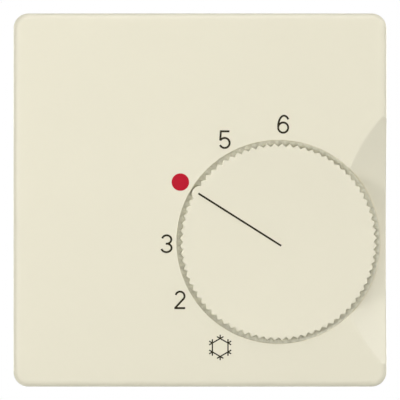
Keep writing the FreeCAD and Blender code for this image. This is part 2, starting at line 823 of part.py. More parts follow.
def cover_screw():
    low, pillar_top = pillar_levels()
    head_top = well_floor - screw_head_below_floor
    here = screw_place()
    head = rod(here, screw_head_radius, head_top - screw_head, head_top)
    head = head.makeFillet(0.4, [e for e in head.Edges if e.BoundBox.ZMin > head_top - 0.01])
    shank = rod(here, screw_radius, pillar_top - screw_engaged, head_top - screw_head)
    return head.fuse(shank).removeSplitter()


def terminal_clamp(x):
    """Brass cage with a wire hole from above the row and a threaded hole from the front."""
    half = (terminal_pitch - terminal_wall) / 2 - clamp_play
    y0 = terminal_bottom + terminal_wall / 2 + clamp_play
    y1 = terminal_row_top - terminal_wall - clamp_play
    z0 = terminal_floor + rail_thickness + 0.05
    cage = box(x - half, x + half, y0, y1, z0, z0 + clamp_height)
    cage = cage.cut(box(x - wire_hole / 2, x + wire_hole / 2, y0 + 1, y1 + 1,
                        z0 + wire_level - 1, z0 + wire_level - 1 + wire_hole))
    middle = Vector(x, (y0 + y1) / 2, 0)
    return cage.cut(rod(middle, clamp_screw_radius + 0.1, z0 + wire_level, z0 + clamp_height + 1))


def terminal_screw(x):
    y = (terminal_bottom + terminal_row_top - terminal_wall / 2) / 2
    clamp_top = terminal_floor + rail_thickness + 0.05 + clamp_height
    middle = Vector(x, y, 0)
    head_level = clamp_top + clamp_screw_raised
    head = rod(middle, clamp_screw_head_radius, head_level, head_level + clamp_screw_head)
    shank = rod(middle, clamp_screw_radius, head_level - 4.2, head_level)
    return head.fuse(shank).removeSplitter()


# --- rails, contacts and the feedback resistor ------------------------------------------------
live_rail_top = strip_top - live_rail_below_strip


def rail_foot(index):
    """Flat end of a rail under its clamp, out through the gap of its pocket."""
    x = terminal_x(index)
    return box(x - rail_width / 2, x + rail_width / 2, terminal_bottom + terminal_wall,
               terminal_row_top + 0.8, terminal_floor, terminal_floor + rail_thickness)


def flat_rail(x0, x1, y0, y1):
    return box(x0, x1, y0, y1, terminal_floor, terminal_floor + rail_thickness)


def load_rail():
    """From the first terminal to the left, then upright as the carrier of contact and magnet."""
    cross = flat_rail(bracket_face - rail_width, terminal_x(0) + rail_width / 2,
                      terminal_row_top + 0.1, contact_y - contact_radius)
    upright = box(bracket_face - bracket_thickness, bracket_face, contact_y - contact_radius - 1,
                  magnet_y + bracket_above_magnet, terminal_floor, bracket_top)
    rail = rail_foot(0).fuse([cross, upright])
    rail = rail.cut(rod_x(bracket_face - 2, bracket_face + 1, contact_y, strip_middle_level, 0.9))
    return rail.removeSplitter()


def fixed_contact():
    """Rivet-shaped contact, its dome towards the strip."""
    y, z = contact_y, strip_middle_level
    shank = rod_x(bracket_face - bracket_thickness - 0.3, bracket_face, y, z, 0.85)
    return shank.fuse(contact_dome(bracket_face, 1)).removeSplitter()


def contact_dome(x, towards):
    """Low dome on a disc, facing right for +1 and left for -1."""
    disc = contact_height * 0.5
    rise = contact_height - disc
    ball_radius = (contact_radius ** 2 + rise ** 2) / (2 * rise)
    y, z = contact_y, strip_middle_level
    x0, x1 = sorted((x, x + towards * contact_height))
    reach = rod_x(x0, x1, y, z, contact_radius)
    ball = Part.makeSphere(ball_radius, Vector(x + towards * (contact_height - ball_radius), y, z))
    return reach.common(ball)


def snap_magnet():
    x1 = bracket_face + contact_height * 2 + contact_gap - armature_thickness - magnet_air_gap
    x0 = bracket_face
    half = magnet_size / 2
    block = box(x0, x1, magnet_y - half, magnet_y + half,
                strip_middle_level - half, strip_middle_level + half)
    return block.makeChamfer(0.3, [e for e in block.Edges if e.BoundBox.XMin > x1 - 0.01])


def live_rail():
    """From the third terminal round the cable entry and up to the flexible lead."""
    x_out = terminal_x(1)
    top = live_rail_top
    run = flat_rail(x_out - rail_width / 2, x_out + rail_width / 2, terminal_row_top + 0.3, top)
    lug = box(x_out - rail_width / 2, x_out + rail_width / 2, top - rail_thickness, top,
              terminal_floor, terminal_floor + 3.5)
    return rail_foot(1).fuse([run, lug]).removeSplitter()


def neutral_lug_left():
    """Left face of the neutral rail's lug, just right of the live rail."""
    return terminal_x(1) + rail_width / 2 + rail_spacing


def neutral_rail():
    x_out = terminal_x(2)
    foot_top = terminal_row_top + 0.8
    left = neutral_lug_left()
    cross = flat_rail(left, x_out + rail_width / 2, terminal_row_top + 0.1, foot_top + 1.4)
    lug = box(left, left + rail_thickness, terminal_row_top + 0.1, foot_top + 1.4,
              terminal_floor, resistor_level + 1)
    return rail_foot(2).fuse([cross, lug]).removeSplitter()


resistor_x = strip_x + resistor_right


def feedback_resistor():
    foot = Vector(resistor_x, resistor_y - resistor_length / 2, resistor_level)
    body = Part.makeCylinder(resistor_radius, resistor_length, foot, Vector(0, 1, 0))
    return body.makeChamfer(resistor_end_bevel, [e for e in body.Edges if e.BoundBox.YLength < 0.01])


def resistor_leads():
    """One lead down to the load rail, the other back to the neutral rail's lug."""
    z = resistor_level
    low = resistor_y - resistor_length / 2
    high = resistor_y + resistor_length / 2
    rail_top = terminal_floor + rail_thickness + lead_radius
    load = wire_run([
        Vector(resistor_x, low, z),
        Vector(resistor_x, low - lead_free, z),
        Vector(resistor_x, contact_y - contact_radius - 1.2, rail_top),
        Vector(terminal_x(0), contact_y - contact_radius - 1.2, rail_top)], lead_radius)
    lug_x = neutral_lug_left() - lead_radius
    back_x = resistor_x + resistor_radius + 1.4
    neutral = wire_run([
        Vector(resistor_x, high, z),
        Vector(resistor_x, high + lead_free, z),
        Vector(back_x, high + lead_free, z),
        Vector(back_x, terminal_row_top + 2.4, z),
        Vector(lug_x, terminal_row_top + 1.6, z)], lead_radius)
    return load, neutral


# --- lever and bimetal ------------------------------------------------------------------------
follower_boss_x = follower_tip - follower_reach - follower_boss_length


def bimetal_carrier():
    """Stamped bell crank: follower boss below the pivot, upright tab for the strip at the left."""
    z0 = lever_level
    z1 = lever_level + lever_thickness
    boss_middle = Vector(follower_boss_x + follower_boss_length / 2, knob_y, 0)
    tab_foot = Vector(tab_right_face + 1.0, strip_top - tab_length / 2, 0)
    spring_y = pivot.y + spring_above_pivot
    spring_x = pivot.x + spring_start()
    spring_foot = Vector(spring_x - spring_lug_width / 2, spring_y - 1, 0)
    parts = [
        link(pivot, lever_hub_radius, boss_middle, follower_boss_radius, z0, z1),
        link(pivot, lever_hub_radius, tab_foot, 3.0, z0, z1),
        link(pivot, lever_hub_radius, spring_foot, spring_lug_width / 2 - 0.5, z0, z1),
        rod(pivot, lever_hub_radius - 0.8, z0 - lever_hub_height, z1 + lever_hub_height),
        rod_x(follower_boss_x, follower_boss_x + follower_boss_length, knob_y, follower_level,
              follower_boss_radius),
        box(spring_x - spring_lug_thickness, spring_x, spring_y - spring_lug_width / 2,
            spring_y + spring_lug_width / 2, spring_level - spring_radius - 0.5, z1),
        rod_x(spring_x - 0.5, spring_x + peg_length, spring_y, spring_level, peg_radius),
    ]
    tab = box(tab_left_face, tab_right_face, tab_bottom, strip_top, strip_level + tab_margin,
              strip_level + strip_width - tab_margin)
    lever = tab.fuse(parts)
    keep = box(tab_left_face, case_width, -case_height, case_height, 0, case_depth)
    lever = lever.common(keep)
    lever = lever.cut(rod(pivot, pivot_pin_radius + running_fit, 0, case_depth))
    lever = lever.cut(rod_x(follower_boss_x - 1, follower_boss_x + follower_boss_length + 1, knob_y,
                            follower_level, set_screw_radius + slip_fit))
    for y in rivet_places():
        lever = lever.cut(rod_x(tab_left_face - 1, tab_right_face + 1, y, rivet_level,
                                rivet_radius + press_play))
    return lever.removeSplitter()


def rivet_places():
    middle = strip_top - tab_length / 2
    return [middle - rivet_pitch / 2, middle + rivet_pitch / 2]


def bimetal_rivet(y):
    z = rivet_level
    left = strip_left_face - strip_play
    right = tab_right_face + press_play
    shank = rod_x(left - 0.1, right + 0.1, y, z, rivet_radius)
    return shank.fuse([rod_x(left - rivet_head, left, y, z, rivet_head_radius),
                       rod_x(right, right + rivet_head, y, z, rivet_head_radius)]).removeSplitter()


def calibration_screw():
    y, z = knob_y, follower_level
    head_x = follower_tip - set_screw_length
    neck_x = follower_tip - set_screw_radius
    ball_radius = set_screw_radius * 1.6
    ball = Part.makeSphere(ball_radius, Vector(follower_tip - ball_radius, y, z))
    tip = rod_x(neck_x - 0.1, follower_tip, y, z, set_screw_radius).common(ball)
    body = rod_x(head_x, neck_x, y, z, set_screw_radius)
    head = rod_x(head_x - set_screw_head, head_x, y, z, set_screw_head_radius)
    slit = set_screw_slit / 2
    head = head.cut(box(head_x - set_screw_head - 1, head_x - set_screw_head * 0.4, y - slit, y + slit,
                        z - set_screw_head_radius - 1, z + set_screw_head_radius + 1))
    return body.fuse([tip, head]).removeSplitter()


def bimetal_strip():
    """Flat strip, hung from the tab, with a round tip and a slot that lets it bend freely."""
    z0, z1 = strip_level, strip_level + strip_width
    strip = box(strip_left_face, strip_right_face, strip_tip, strip_top, z0, z1)
    corners = [e for e in strip.Edges if e.BoundBox.XLength > strip_thickness / 2
               and e.BoundBox.YMax < strip_tip + 0.01]
    strip = strip.makeFillet(strip_width * 0.3, corners)
    for y in rivet_places():
        strip = strip.cut(rod_x(strip_left_face - 1, strip_right_face + 1, y, rivet_level,
                                rivet_radius + rivet_play))
    strip = strip.cut(rod_x(strip_left_face - 1, strip_right_face + 1, contact_y, strip_middle_level, 0.9))
    return strip


def moving_contact():
    y, z = contact_y, strip_middle_level
    shank = rod_x(strip_left_face, strip_right_face + 0.3, y, z, 0.85)
    return shank.fuse(contact_dome(strip_left_face, -1)).removeSplitter()


def armature():
    half = magnet_size / 2
    x0 = strip_left_face - armature_thickness
    return box(x0, strip_left_face, magnet_y - half, magnet_y + half,
               strip_middle_level - half, strip_middle_level + half)


def pivot_pin():
    top = lever_level + lever_thickness + lever_hub_height
    pin = rod(pivot, pivot_pin_radius, floor + 1.1, top + pin_clip_thickness + 1.2)
    groove = tube(pivot, pivot_pin_radius + 1, pivot_pin_radius - 0.35, top + 0.2 - slip_fit,
                  top + 0.2 + pin_clip_thickness + slip_fit)
    return pin.cut(groove)


def pin_clip():
    top = lever_level + lever_thickness + lever_hub_height + 0.2
    return open_ring(pivot, pivot_pin_radius + pin_clip_reach, pivot_pin_radius - 0.35 + slip_fit,
                     top, top + pin_clip_thickness, 120)


def lever_spring():
    """Helical compression spring between the lever's lug and the post on the base."""
    left = pivot.x + spring_start() + spring_end_gap / 2 + spring_wire_radius
    y = pivot.y + spring_above_pivot
    rise = (spring_length - 2 * spring_wire_radius) / (spring_turns * spring_runs)
    path = []
    for i in range(spring_turns * spring_runs + 1):
        a = 2 * math.pi * i / spring_runs
        path.append(Vector(left + i * rise, y + spring_radius * math.cos(a),
                           spring_level + spring_radius * math.sin(a)))
    section = Part.Wire(Part.makeCircle(spring_wire_radius, path[0], path[1] - path[0]))
    mitred = 1
    return Part.makePolygon(path).makePipeShell([section], True, False, mitred)


def bimetal_lead():
    """Braided lead from the live rail's lug up to the back of the tab."""
    x_out = terminal_x(1)
    top = live_rail_top
    y = strip_top - tab_length / 2
    end_level = (strip_level + tab_margin + lever_level) / 2
    return wire_run([
        Vector(x_out, top + 0.05 + braid_radius, terminal_floor + 2.4),
        Vector(x_out, top + 2.4, terminal_floor + 4),
        Vector(x_out - 2, y + 2.6, end_level - 1.6),
        Vector(tab_right_face + 2.4, y + 1.6, end_level),
        Vector(tab_right_face + 0.1 + braid_radius, y, end_level)], braid_radius)


# --- write the pieces -------------------------------------------------------------------------
os.makedirs("parts", exist_ok=True)
ring_low, ring_high = range_rings()
terminal_places = [terminal_x(i) for i in range(terminal_count)]

save("base_plate", base_plate())
save("front_cover", front_cover())
save("cover_screw", cover_screw())
save("cover_nut", cover_nut())
save("spindle_bush", spindle_bush())
save("terminal_clamps", *[terminal_clamp(x) for x in terminal_places])
save("terminal_screws", *[terminal_screw(x) for x in terminal_places])
save("live_rail", live_rail())
save("load_rail", load_rail())
save("neutral_rail", neutral_rail())
save("fixed_contact", fixed_contact())
save("snap_magnet", snap_magnet())
save("feedback_resistor", feedback_resistor())
save("resistor_leads", *resistor_leads())
save("pivot_pin", pivot_pin())
save("pin_clip", pin_clip())
save("lever_spring", lever_spring())
save("bimetal_lead", bimetal_lead())
save("spindle", spindle())
save("setting_cam", setting_cam())
save("spindle_clip", spindle_clip())
save("friction_washer", friction_washer())
save("control_knob", control_knob())
save("knob_clip", knob_clip())
save("range_ring_min", ring_low)
save("range_ring_max", ring_high)
save("bimetal_carrier", bimetal_carrier())
save("calibration_screw", calibration_screw())
save("bimetal_rivets", *[bimetal_rivet(y) for y in rivet_places()])
save("bimetal_strip", bimetal_strip())
save("moving_contact", moving_contact())
save("armature", armature())
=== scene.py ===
"""Looks of the wall thermostat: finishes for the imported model, the printed scale, the turned and
wound small pieces, and a plain studio. Laid out as a Blender add-on and run as a script."""
import math

import bmesh
import bpy
from bpy.props import FloatProperty, FloatVectorProperty, PointerProperty
from mathutils import Matrix, Vector
from mathutils.bvhtree import BVHTree


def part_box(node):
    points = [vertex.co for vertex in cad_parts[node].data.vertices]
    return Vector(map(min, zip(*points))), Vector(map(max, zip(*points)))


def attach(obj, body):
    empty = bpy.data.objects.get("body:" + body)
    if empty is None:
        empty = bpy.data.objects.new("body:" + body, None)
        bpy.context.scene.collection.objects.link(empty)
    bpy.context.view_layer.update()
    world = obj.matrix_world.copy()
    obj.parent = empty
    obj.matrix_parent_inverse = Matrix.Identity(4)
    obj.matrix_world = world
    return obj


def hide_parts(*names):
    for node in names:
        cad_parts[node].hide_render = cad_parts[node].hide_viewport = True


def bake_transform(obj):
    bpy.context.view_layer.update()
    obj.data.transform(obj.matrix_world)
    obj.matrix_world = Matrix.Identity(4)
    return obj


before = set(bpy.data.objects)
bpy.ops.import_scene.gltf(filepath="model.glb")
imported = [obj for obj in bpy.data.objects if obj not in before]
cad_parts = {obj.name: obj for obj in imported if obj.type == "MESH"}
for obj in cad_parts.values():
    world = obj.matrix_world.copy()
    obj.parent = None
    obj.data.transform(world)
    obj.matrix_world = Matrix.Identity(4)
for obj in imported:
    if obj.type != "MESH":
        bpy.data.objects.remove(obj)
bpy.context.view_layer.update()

bl_info = {
    "name": "Wall Thermostat",
    "version": (1, 0, 0),
    "blender": (4, 5, 0),
    "location": "View3D > Sidebar > Thermostat",
    "description": "Finishes, printed scale, small pieces and studio for a wall thermostat",
    "category": "Object",
}

MM = 0.001
FILL_COLOUR = "#E9F1FF"      # daylight from all round
FLOOR_PALENESS = 0.45        # share of plain white that the camera sees in the floor
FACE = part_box("front_cover")[0].y         # front of the cover
SPINDLE_LOW, SPINDLE_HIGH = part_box("spindle")
AXIS_X = (SPINDLE_LOW.x + SPINDLE_HIGH.x) / 2
AXIS_Z = (SPINDLE_LOW.z + SPINDLE_HIGH.z) / 2


# --- colour, nodes and materials --------------------------------------------------------------
PLASTIC = {"IOR": 1.53}
METAL = {"Metallic": 1.0}
GRAIN_SHEEN = 0.04           # roughness that the grain adds or takes away


def linear(hex_colour):
    """Linear RGBA of an sRGB hex colour."""
    channels = [int(hex_colour[i:i + 2], 16) / 255 for i in (1, 3, 5)]
    return [c / 12.92 if c <= 0.04045 else ((c + 0.055) / 1.055) ** 2.4 for c in channels] + [1.0]


def add(tree, kind, settings=None, links=None):
    """Adds a node of a kind, with its settings and with links into its inputs."""
    node = tree.nodes.new(kind)
    for key, value in (settings or {}).items():
        if isinstance(key, int) or key in node.inputs:
            node.inputs[key].default_value = value
        else:
            setattr(node, key, value)
    for key, source in (links or {}).items():
        tree.links.new(source, node.inputs[key])
    return node


def surface(name, colour, second, roughness, settings, grain_mm, depth_mm, drift_mm=9.0,
            stretch=(1, 1, 1)):
    """A named material. Fine grain of a real size gives roughness and relief, and a slow drift
    of a larger size mixes in the second colour."""
    material = bpy.data.materials.new(name)
    material.use_nodes = True
    tree = material.node_tree
    tree.nodes.clear()
    place = add(tree, "ShaderNodeTexCoord").outputs["Object"]
    along = add(tree, "ShaderNodeMapping", {"Scale": stretch}, {"Vector": place}).outputs["Vector"]
    grain = add(tree, "ShaderNodeTexNoise", {"Scale": 1 / (grain_mm * MM), "Detail": 3.0},
                {"Vector": along}).outputs["Fac"]
    drift = add(tree, "ShaderNodeTexNoise", {"Scale": 1 / (drift_mm * MM), "Detail": 2.0},
                {"Vector": place}).outputs["Fac"]
    tone = add(tree, "ShaderNodeMix", {"data_type": "RGBA"})
    tone.inputs["A"].default_value = colour
    tone.inputs["B"].default_value = second
    tree.links.new(drift, tone.inputs["Factor"])
    sheen = add(tree, "ShaderNodeMapRange",
                {"To Min": roughness - GRAIN_SHEEN, "To Max": roughness + GRAIN_SHEEN},
                {"Value": grain})
    relief = add(tree, "ShaderNodeBump", {"Strength": 0.5, "Distance": depth_mm * MM},
                 {"Height": grain})
    shader = add(tree, "ShaderNodeBsdfPrincipled", settings,
                 {"Base Color": tone.outputs["Result"], "Roughness": sheen.outputs["Result"],
                  "Normal": relief.outputs["Normal"]})
    add(tree, "ShaderNodeOutputMaterial", links={"Surface": shader.outputs[0]})
    return material


def shade(colour, factor):
    """The same colour, lighter or darker."""
    return [c * factor for c in colour[:3]] + [1.0]


def dress(material, *nodes):
    """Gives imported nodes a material."""
    for name in nodes:
        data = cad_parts[name].data
        data.materials.clear()
        data.materials.append(material)


# --- mesh helpers -----------------------------------------------------------------------------
def piece(name, bm, material, body, smooth=40.0):
    """Turns a bmesh into a piece that takes its finish from a slot."""
    bmesh.ops.recalc_face_normals(bm, faces=bm.faces)
    mesh = bpy.data.meshes.new(name)
    bm.to_mesh(mesh)
    bm.free()
    mesh.shade_smooth()
    mesh.set_sharp_from_angle(angle=math.radians(smooth))
    mesh.materials.append(material)
    made = bpy.data.objects.new(name, mesh)
    bpy.context.scene.collection.objects.link(made)
    if isinstance(body, dict):
        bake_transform(made)
    else:
        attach(made, body)
    return made


def front_of(shown):
    """Finds how far forward an object's surface lies at a place on the face."""
    mesh = shown.data
    tree = BVHTree.FromPolygons([v.co.copy() for v in mesh.vertices],
                                [tuple(p.vertices) for p in mesh.polygons])

    def level(x, z):
        hit = tree.ray_cast(Vector((x, -1.0, z)), Vector((0, 1, 0)))[0]
        if hit is None:
            raise RuntimeError("nothing to print on at %.4f, %.4f" % (x, z))
        return hit.y
    return level


def arc(x, z, radius_x, radius_z, start, end, steps=30):
    """Points along part of an ellipse, between two angles in degrees."""
    turns = [math.radians(start + (end - start) * i / steps) for i in range(steps + 1)]
    return [(x + radius_x * math.cos(a), z + radius_z * math.sin(a)) for a in turns]


def line(*ends, step=0.2):
    """Points along straight runs. The step between them is in the unit of the ends."""
    points = [ends[0]]
    for (x0, z0), (x1, z1) in zip(ends, ends[1:]):
        count = max(1, math.ceil(math.hypot(x1 - x0, z1 - z0) / step))
        points += [(x0 + (x1 - x0) * i / count, z0 + (z1 - z0) * i / count)
                   for i in range(1, count + 1)]
    return points


def skin(bm, rings, closed=True):
    """Joins rings of points, one to the next, and closes both ends. Gives the faces by band."""
    bands = []
    for one, two in zip(rings, rings[1:]):
        count = len(one)
        bands.append([bm.faces.new((one[i], one[(i + 1) % count], two[(i + 1) % count], two[i]))
                      for i in range(count)])
    if closed:
        bm.faces.new(rings[0])
        bm.faces.new(list(reversed(rings[-1])))
    return bands


def ink_stroke(bm, points, width, level, thickness):
    """Closed ribbon of ink along points given in metres on the face."""
    rings = []
    for i, (x, z) in enumerate(points):
        ahead = points[min(i + 1, len(points) - 1)]
        behind = points[max(i - 1, 0)]
        along = Vector((ahead[0] - behind[0], ahead[1] - behind[1])).normalized()
        side = Vector((-along.y, along.x)) * width / 2
        ring = []
        for sign, rise in ((1, 0), (1, 1), (0.8, 1.15), (-0.8, 1.15), (-1, 1), (-1, 0)):
            px, pz = x + side.x * sign, z + side.y * sign
            sunk = 0.2 * thickness if rise == 0 else 0
            ring.append(bm.verts.new((px, level(px, pz) + sunk - rise * thickness, pz)))
        rings.append(ring)
    skin(bm, rings)


AXES = {"face": lambda a, b, along: Vector((a, -along, b)),      # along: height off the wall
        "across": lambda a, b, along: Vector((along, a, b)),
        "up": lambda a, b, along: Vector((a, b, along))}


def lathe(bm, rows, axis, centre, count=48):
    """Closed turned form. A row holds a radius, or a function of the angle in degrees that gives
    one, and a place along the axis, all in mm. The centre is where the axis runs, in metres."""
    rings = []
    for radius, along in rows:
        ring = []
        for i in range(count):
            degrees = 360 * i / count
            r = (radius(degrees) if callable(radius) else radius) * MM
            a = math.radians(degrees)
            place = AXES[axis](r * math.cos(a), r * math.sin(a), along * MM)
            ring.append(bm.verts.new(place + centre))
        rings.append(ring)
    return skin(bm, rings)


def tube(bm, points, radius, sides=12):
    """Round wire through points, with flat ends."""
    rings = []
    normal = None
    for i, point in enumerate(points):
        along = (points[min(i + 1, len(points) - 1)] - points[max(i - 1, 0)]).normalized()
        normal = along.orthogonal() if normal is None else normal - along * normal.dot(along)
        normal.normalize()
        other = along.cross(normal)
        rings.append([bm.verts.new(point + (normal * math.cos(a) + other * math.sin(a)) * radius)
                      for a in (2 * math.pi * k / sides for k in range(sides))])
    skin(bm, rings)


def cut_boxes(made, boxes, smooth=30):
    """Cuts boxes, each a lowest and a highest corner, out of a piece."""
    cutters = []
    for low, high in boxes:
        bm = bmesh.new()
        bmesh.ops.create_cube(bm, size=1.0)
        middle, size = (low + high) / 2, high - low
        for vert in bm.verts:
            vert.co = Vector([m + v * e for m, v, e in zip(middle, vert.co, size)])
        mesh = bpy.data.meshes.new("cutter")
        bm.to_mesh(mesh)
        bm.free()
        cutter = bpy.data.objects.new("cutter", mesh)
        bpy.context.scene.collection.objects.link(cutter)
        modifier = made.modifiers.new("cut", "BOOLEAN")
        modifier.operation = "DIFFERENCE"
        modifier.solver = "EXACT"
        modifier.object = cutter
        cutters.append(cutter)
    bpy.context.view_layer.update()
    shown = made.evaluated_get(bpy.context.evaluated_depsgraph_get())
    made.data = bpy.data.meshes.new_from_object(shown)
    made.modifiers.clear()
    made.data.shade_smooth()
    made.data.set_sharp_from_angle(angle=math.radians(smooth))
    for cutter in cutters:
        bpy.data.objects.remove(cutter)


def threaded(radius, start, end, pitch, rows_a_pitch=8):
    """Rows of a screw's thread, which fades out over one pitch at both of its ends."""
    depth = 0.6 * pitch
    core = radius - depth
    steps = math.ceil(abs(end - start) / (pitch / rows_a_pitch))
    rows = []
    for i in range(steps + 1):
        along = start + (end - start) * i / steps
        fade = min(1, i / rows_a_pitch, (steps - i) / rows_a_pitch)

        def flank(degrees, along=along, fade=fade):
            share = (along / pitch + degrees / 360) % 1
            return core + depth * fade * (1 - abs(2 * share - 1))
        rows.append((flank, along))
    return rows


# --- what a user would change -----------------------------------------------------------------
class ThermostatPrint(bpy.types.PropertyGroup):
    """Sizes of what is printed on the cover and the knob."""
    figure_height: FloatProperty(
        name="Figure height", description="Height of the scale's figures",
        default=3.7 * MM, min=1.0 * MM, max=5.0 * MM, subtype="DISTANCE", unit="LENGTH")
    stroke: FloatProperty(
        name="Stroke", description="Width of the figures' strokes",
        default=0.4 * MM, min=0.1 * MM, max=0.8 * MM, subtype="DISTANCE", unit="LENGTH")
    frost_stroke: FloatProperty(
        name="Frost mark stroke", description="Width of the frost mark's strokes",
        default=0.25 * MM, min=0.1 * MM, max=0.6 * MM, subtype="DISTANCE", unit="LENGTH")
    frost_radius: FloatProperty(
        name="Frost mark radius", description="Middle of the frost mark to its corners",
        default=1.8 * MM, min=0.5 * MM, max=3.0 * MM, subtype="DISTANCE", unit="LENGTH")
    dot: FloatProperty(
        name="Dot diameter", description="Dot at the usual setting",
        default=3.5 * MM, min=1.0 * MM, max=5.0 * MM, subtype="DISTANCE", unit="LENGTH")
    pointer: FloatProperty(
        name="Pointer width", description="Width of the line across the knob",
        default=0.38 * MM, min=0.1 * MM, max=1.0 * MM, subtype="DISTANCE", unit="LENGTH")
    ink: FloatProperty(
        name="Ink thickness", description="How far the print stands off the plastic",
        default=0.02 * MM, min=0.01 * MM, max=0.1 * MM, subtype="DISTANCE", unit="LENGTH")


class ThermostatKnob(bpy.types.PropertyGroup):
    """Sizes of the knob's rim."""
    shelf: FloatProperty(
        name="Skirt below rim", description="Rim of the knob to the edge of its skirt",
        default=1.2 * MM, min=0.5 * MM, max=4.0 * MM, subtype="DISTANCE", unit="LENGTH")
    groove: FloatProperty(
        name="Tooth length", description="Rim of the knob to the foot of its teeth",
        default=1.85 * MM, min=0.5 * MM, max=5.0 * MM, subtype="DISTANCE", unit="LENGTH")
    tooth_edge: FloatProperty(
        name="Tooth edge", description="Rounding of the teeth's front edges",
        default=0.16 * MM, min=0.02 * MM, max=0.5 * MM, subtype="DISTANCE", unit="LENGTH")


class ThermostatColours(bpy.types.PropertyGroup):
    """Colours of the plastics and of the print."""
    cover: FloatVectorProperty(
        name="Cover and knob", description="Cream of the visible mouldings",
        default=linear("#E8E2CB"), size=4, min=0, max=1, subtype="COLOR")
    # Painted light: a paler, greyer cream than the cover's, which lifts the shade between the
    # teeth.
    groove: FloatVectorProperty(
        name="Knob's groove", description="Cream between the knob's teeth",
        default=linear("#E9E6D6"), size=4, min=0, max=1, subtype="COLOR")
    base: FloatVectorProperty(
        name="Base", description="Grey of the base plate",
        default=linear("#D3D1C7"), size=4, min=0, max=1, subtype="COLOR")
    print_ink: FloatVectorProperty(
        name="Figures", description="Ink of the figures and the pointer",
        default=linear("#2C260F"), size=4, min=0, max=1, subtype="COLOR")
    dot_ink: FloatVectorProperty(
        name="Dot", description="Ink of the dot at the usual setting",
        default=linear("#BE0E29"), size=4, min=0, max=1, subtype="COLOR")
    ring_cold: FloatVectorProperty(
        name="Lower ring", description="Ring for the lowest setting",
        default=linear("#2F5F9E"), size=4, min=0, max=1, subtype="COLOR")
    ring_warm: FloatVectorProperty(
        name="Upper ring", description="Ring for the highest setting",
        default=linear("#B8322F"), size=4, min=0, max=1, subtype="COLOR")


class ThermostatStudio(bpy.types.PropertyGroup):
    """Camera framing and light levels."""
    view_width: FloatProperty(
        name="View width", description="Width that the camera sees at the face",
        default=80.05 * MM, min=0.04, max=1.0, subtype="DISTANCE", unit="LENGTH")
    distance: FloatProperty(
        name="Camera distance", description="Camera to the face",
        default=1.2, min=0.3, max=5.0, subtype="DISTANCE", unit="LENGTH")
    floor_drop: FloatProperty(
        name="Floor below middle", description="Floor below the middle of the case",
        default=0.1, min=0.04, max=0.5, subtype="DISTANCE", unit="LENGTH")
    right: FloatProperty(
        name="Right lamp", description="Light on a surface that faces the right lamp",
        default=0.34, min=0, max=3)
    top: FloatProperty(
        name="Top lamp", description="Light on a surface that faces the top lamp",
        default=0.24, min=0, max=3)
    front_top: FloatProperty(
        name="Front top lamp", description="Light on a surface that faces this lamp",
        default=0.125, min=0, max=3)
    front_left: FloatProperty(
        name="Front left lamp", description="Light on a surface that faces this lamp",
        default=0.32, min=0, max=3)
    back: FloatProperty(
        name="Rear lamps", description="Light on the back of the object",
        default=0.3, min=0, max=3)
    fill: FloatProperty(
        name="Fill", description="Even light from all round",
        default=0.16, min=0, max=2)


# --- operators --------------------------------------------------------------------------------
class THERMOSTAT_OT_mouldings(bpy.types.Operator):
    """Finish the cover and the base plate"""
    bl_idname = "thermostat.mouldings"
    bl_label = "Mouldings"

    def execute(self, context):
        colours = context.scene.thermostat_colours
        cream = list(colours.cover)
        # ABS from a spark-eroded tool: soft broad highlights, an even cream with hardly any drift.
        # The tool's grain is about 0.05 mm and is drawn at 0.3 mm, the finest that shows.
        cover = surface("ABS, satin moulded, cream", cream, shade(cream, 0.985), 0.45, PLASTIC,
                        0.3, 0.004, drift_mm=25)
        # Glass-filled polyamide: dull grey, cloudy where the glass comes to the skin.
        base = surface("Polyamide, glass-filled, moulded", list(colours.base),
                       shade(colours.base, 0.93), 0.6, PLASTIC, 0.25, 0.01, drift_mm=7)
        dress(cover, "front_cover")
        dress(base, "base_plate")
        return {"FINISHED"}


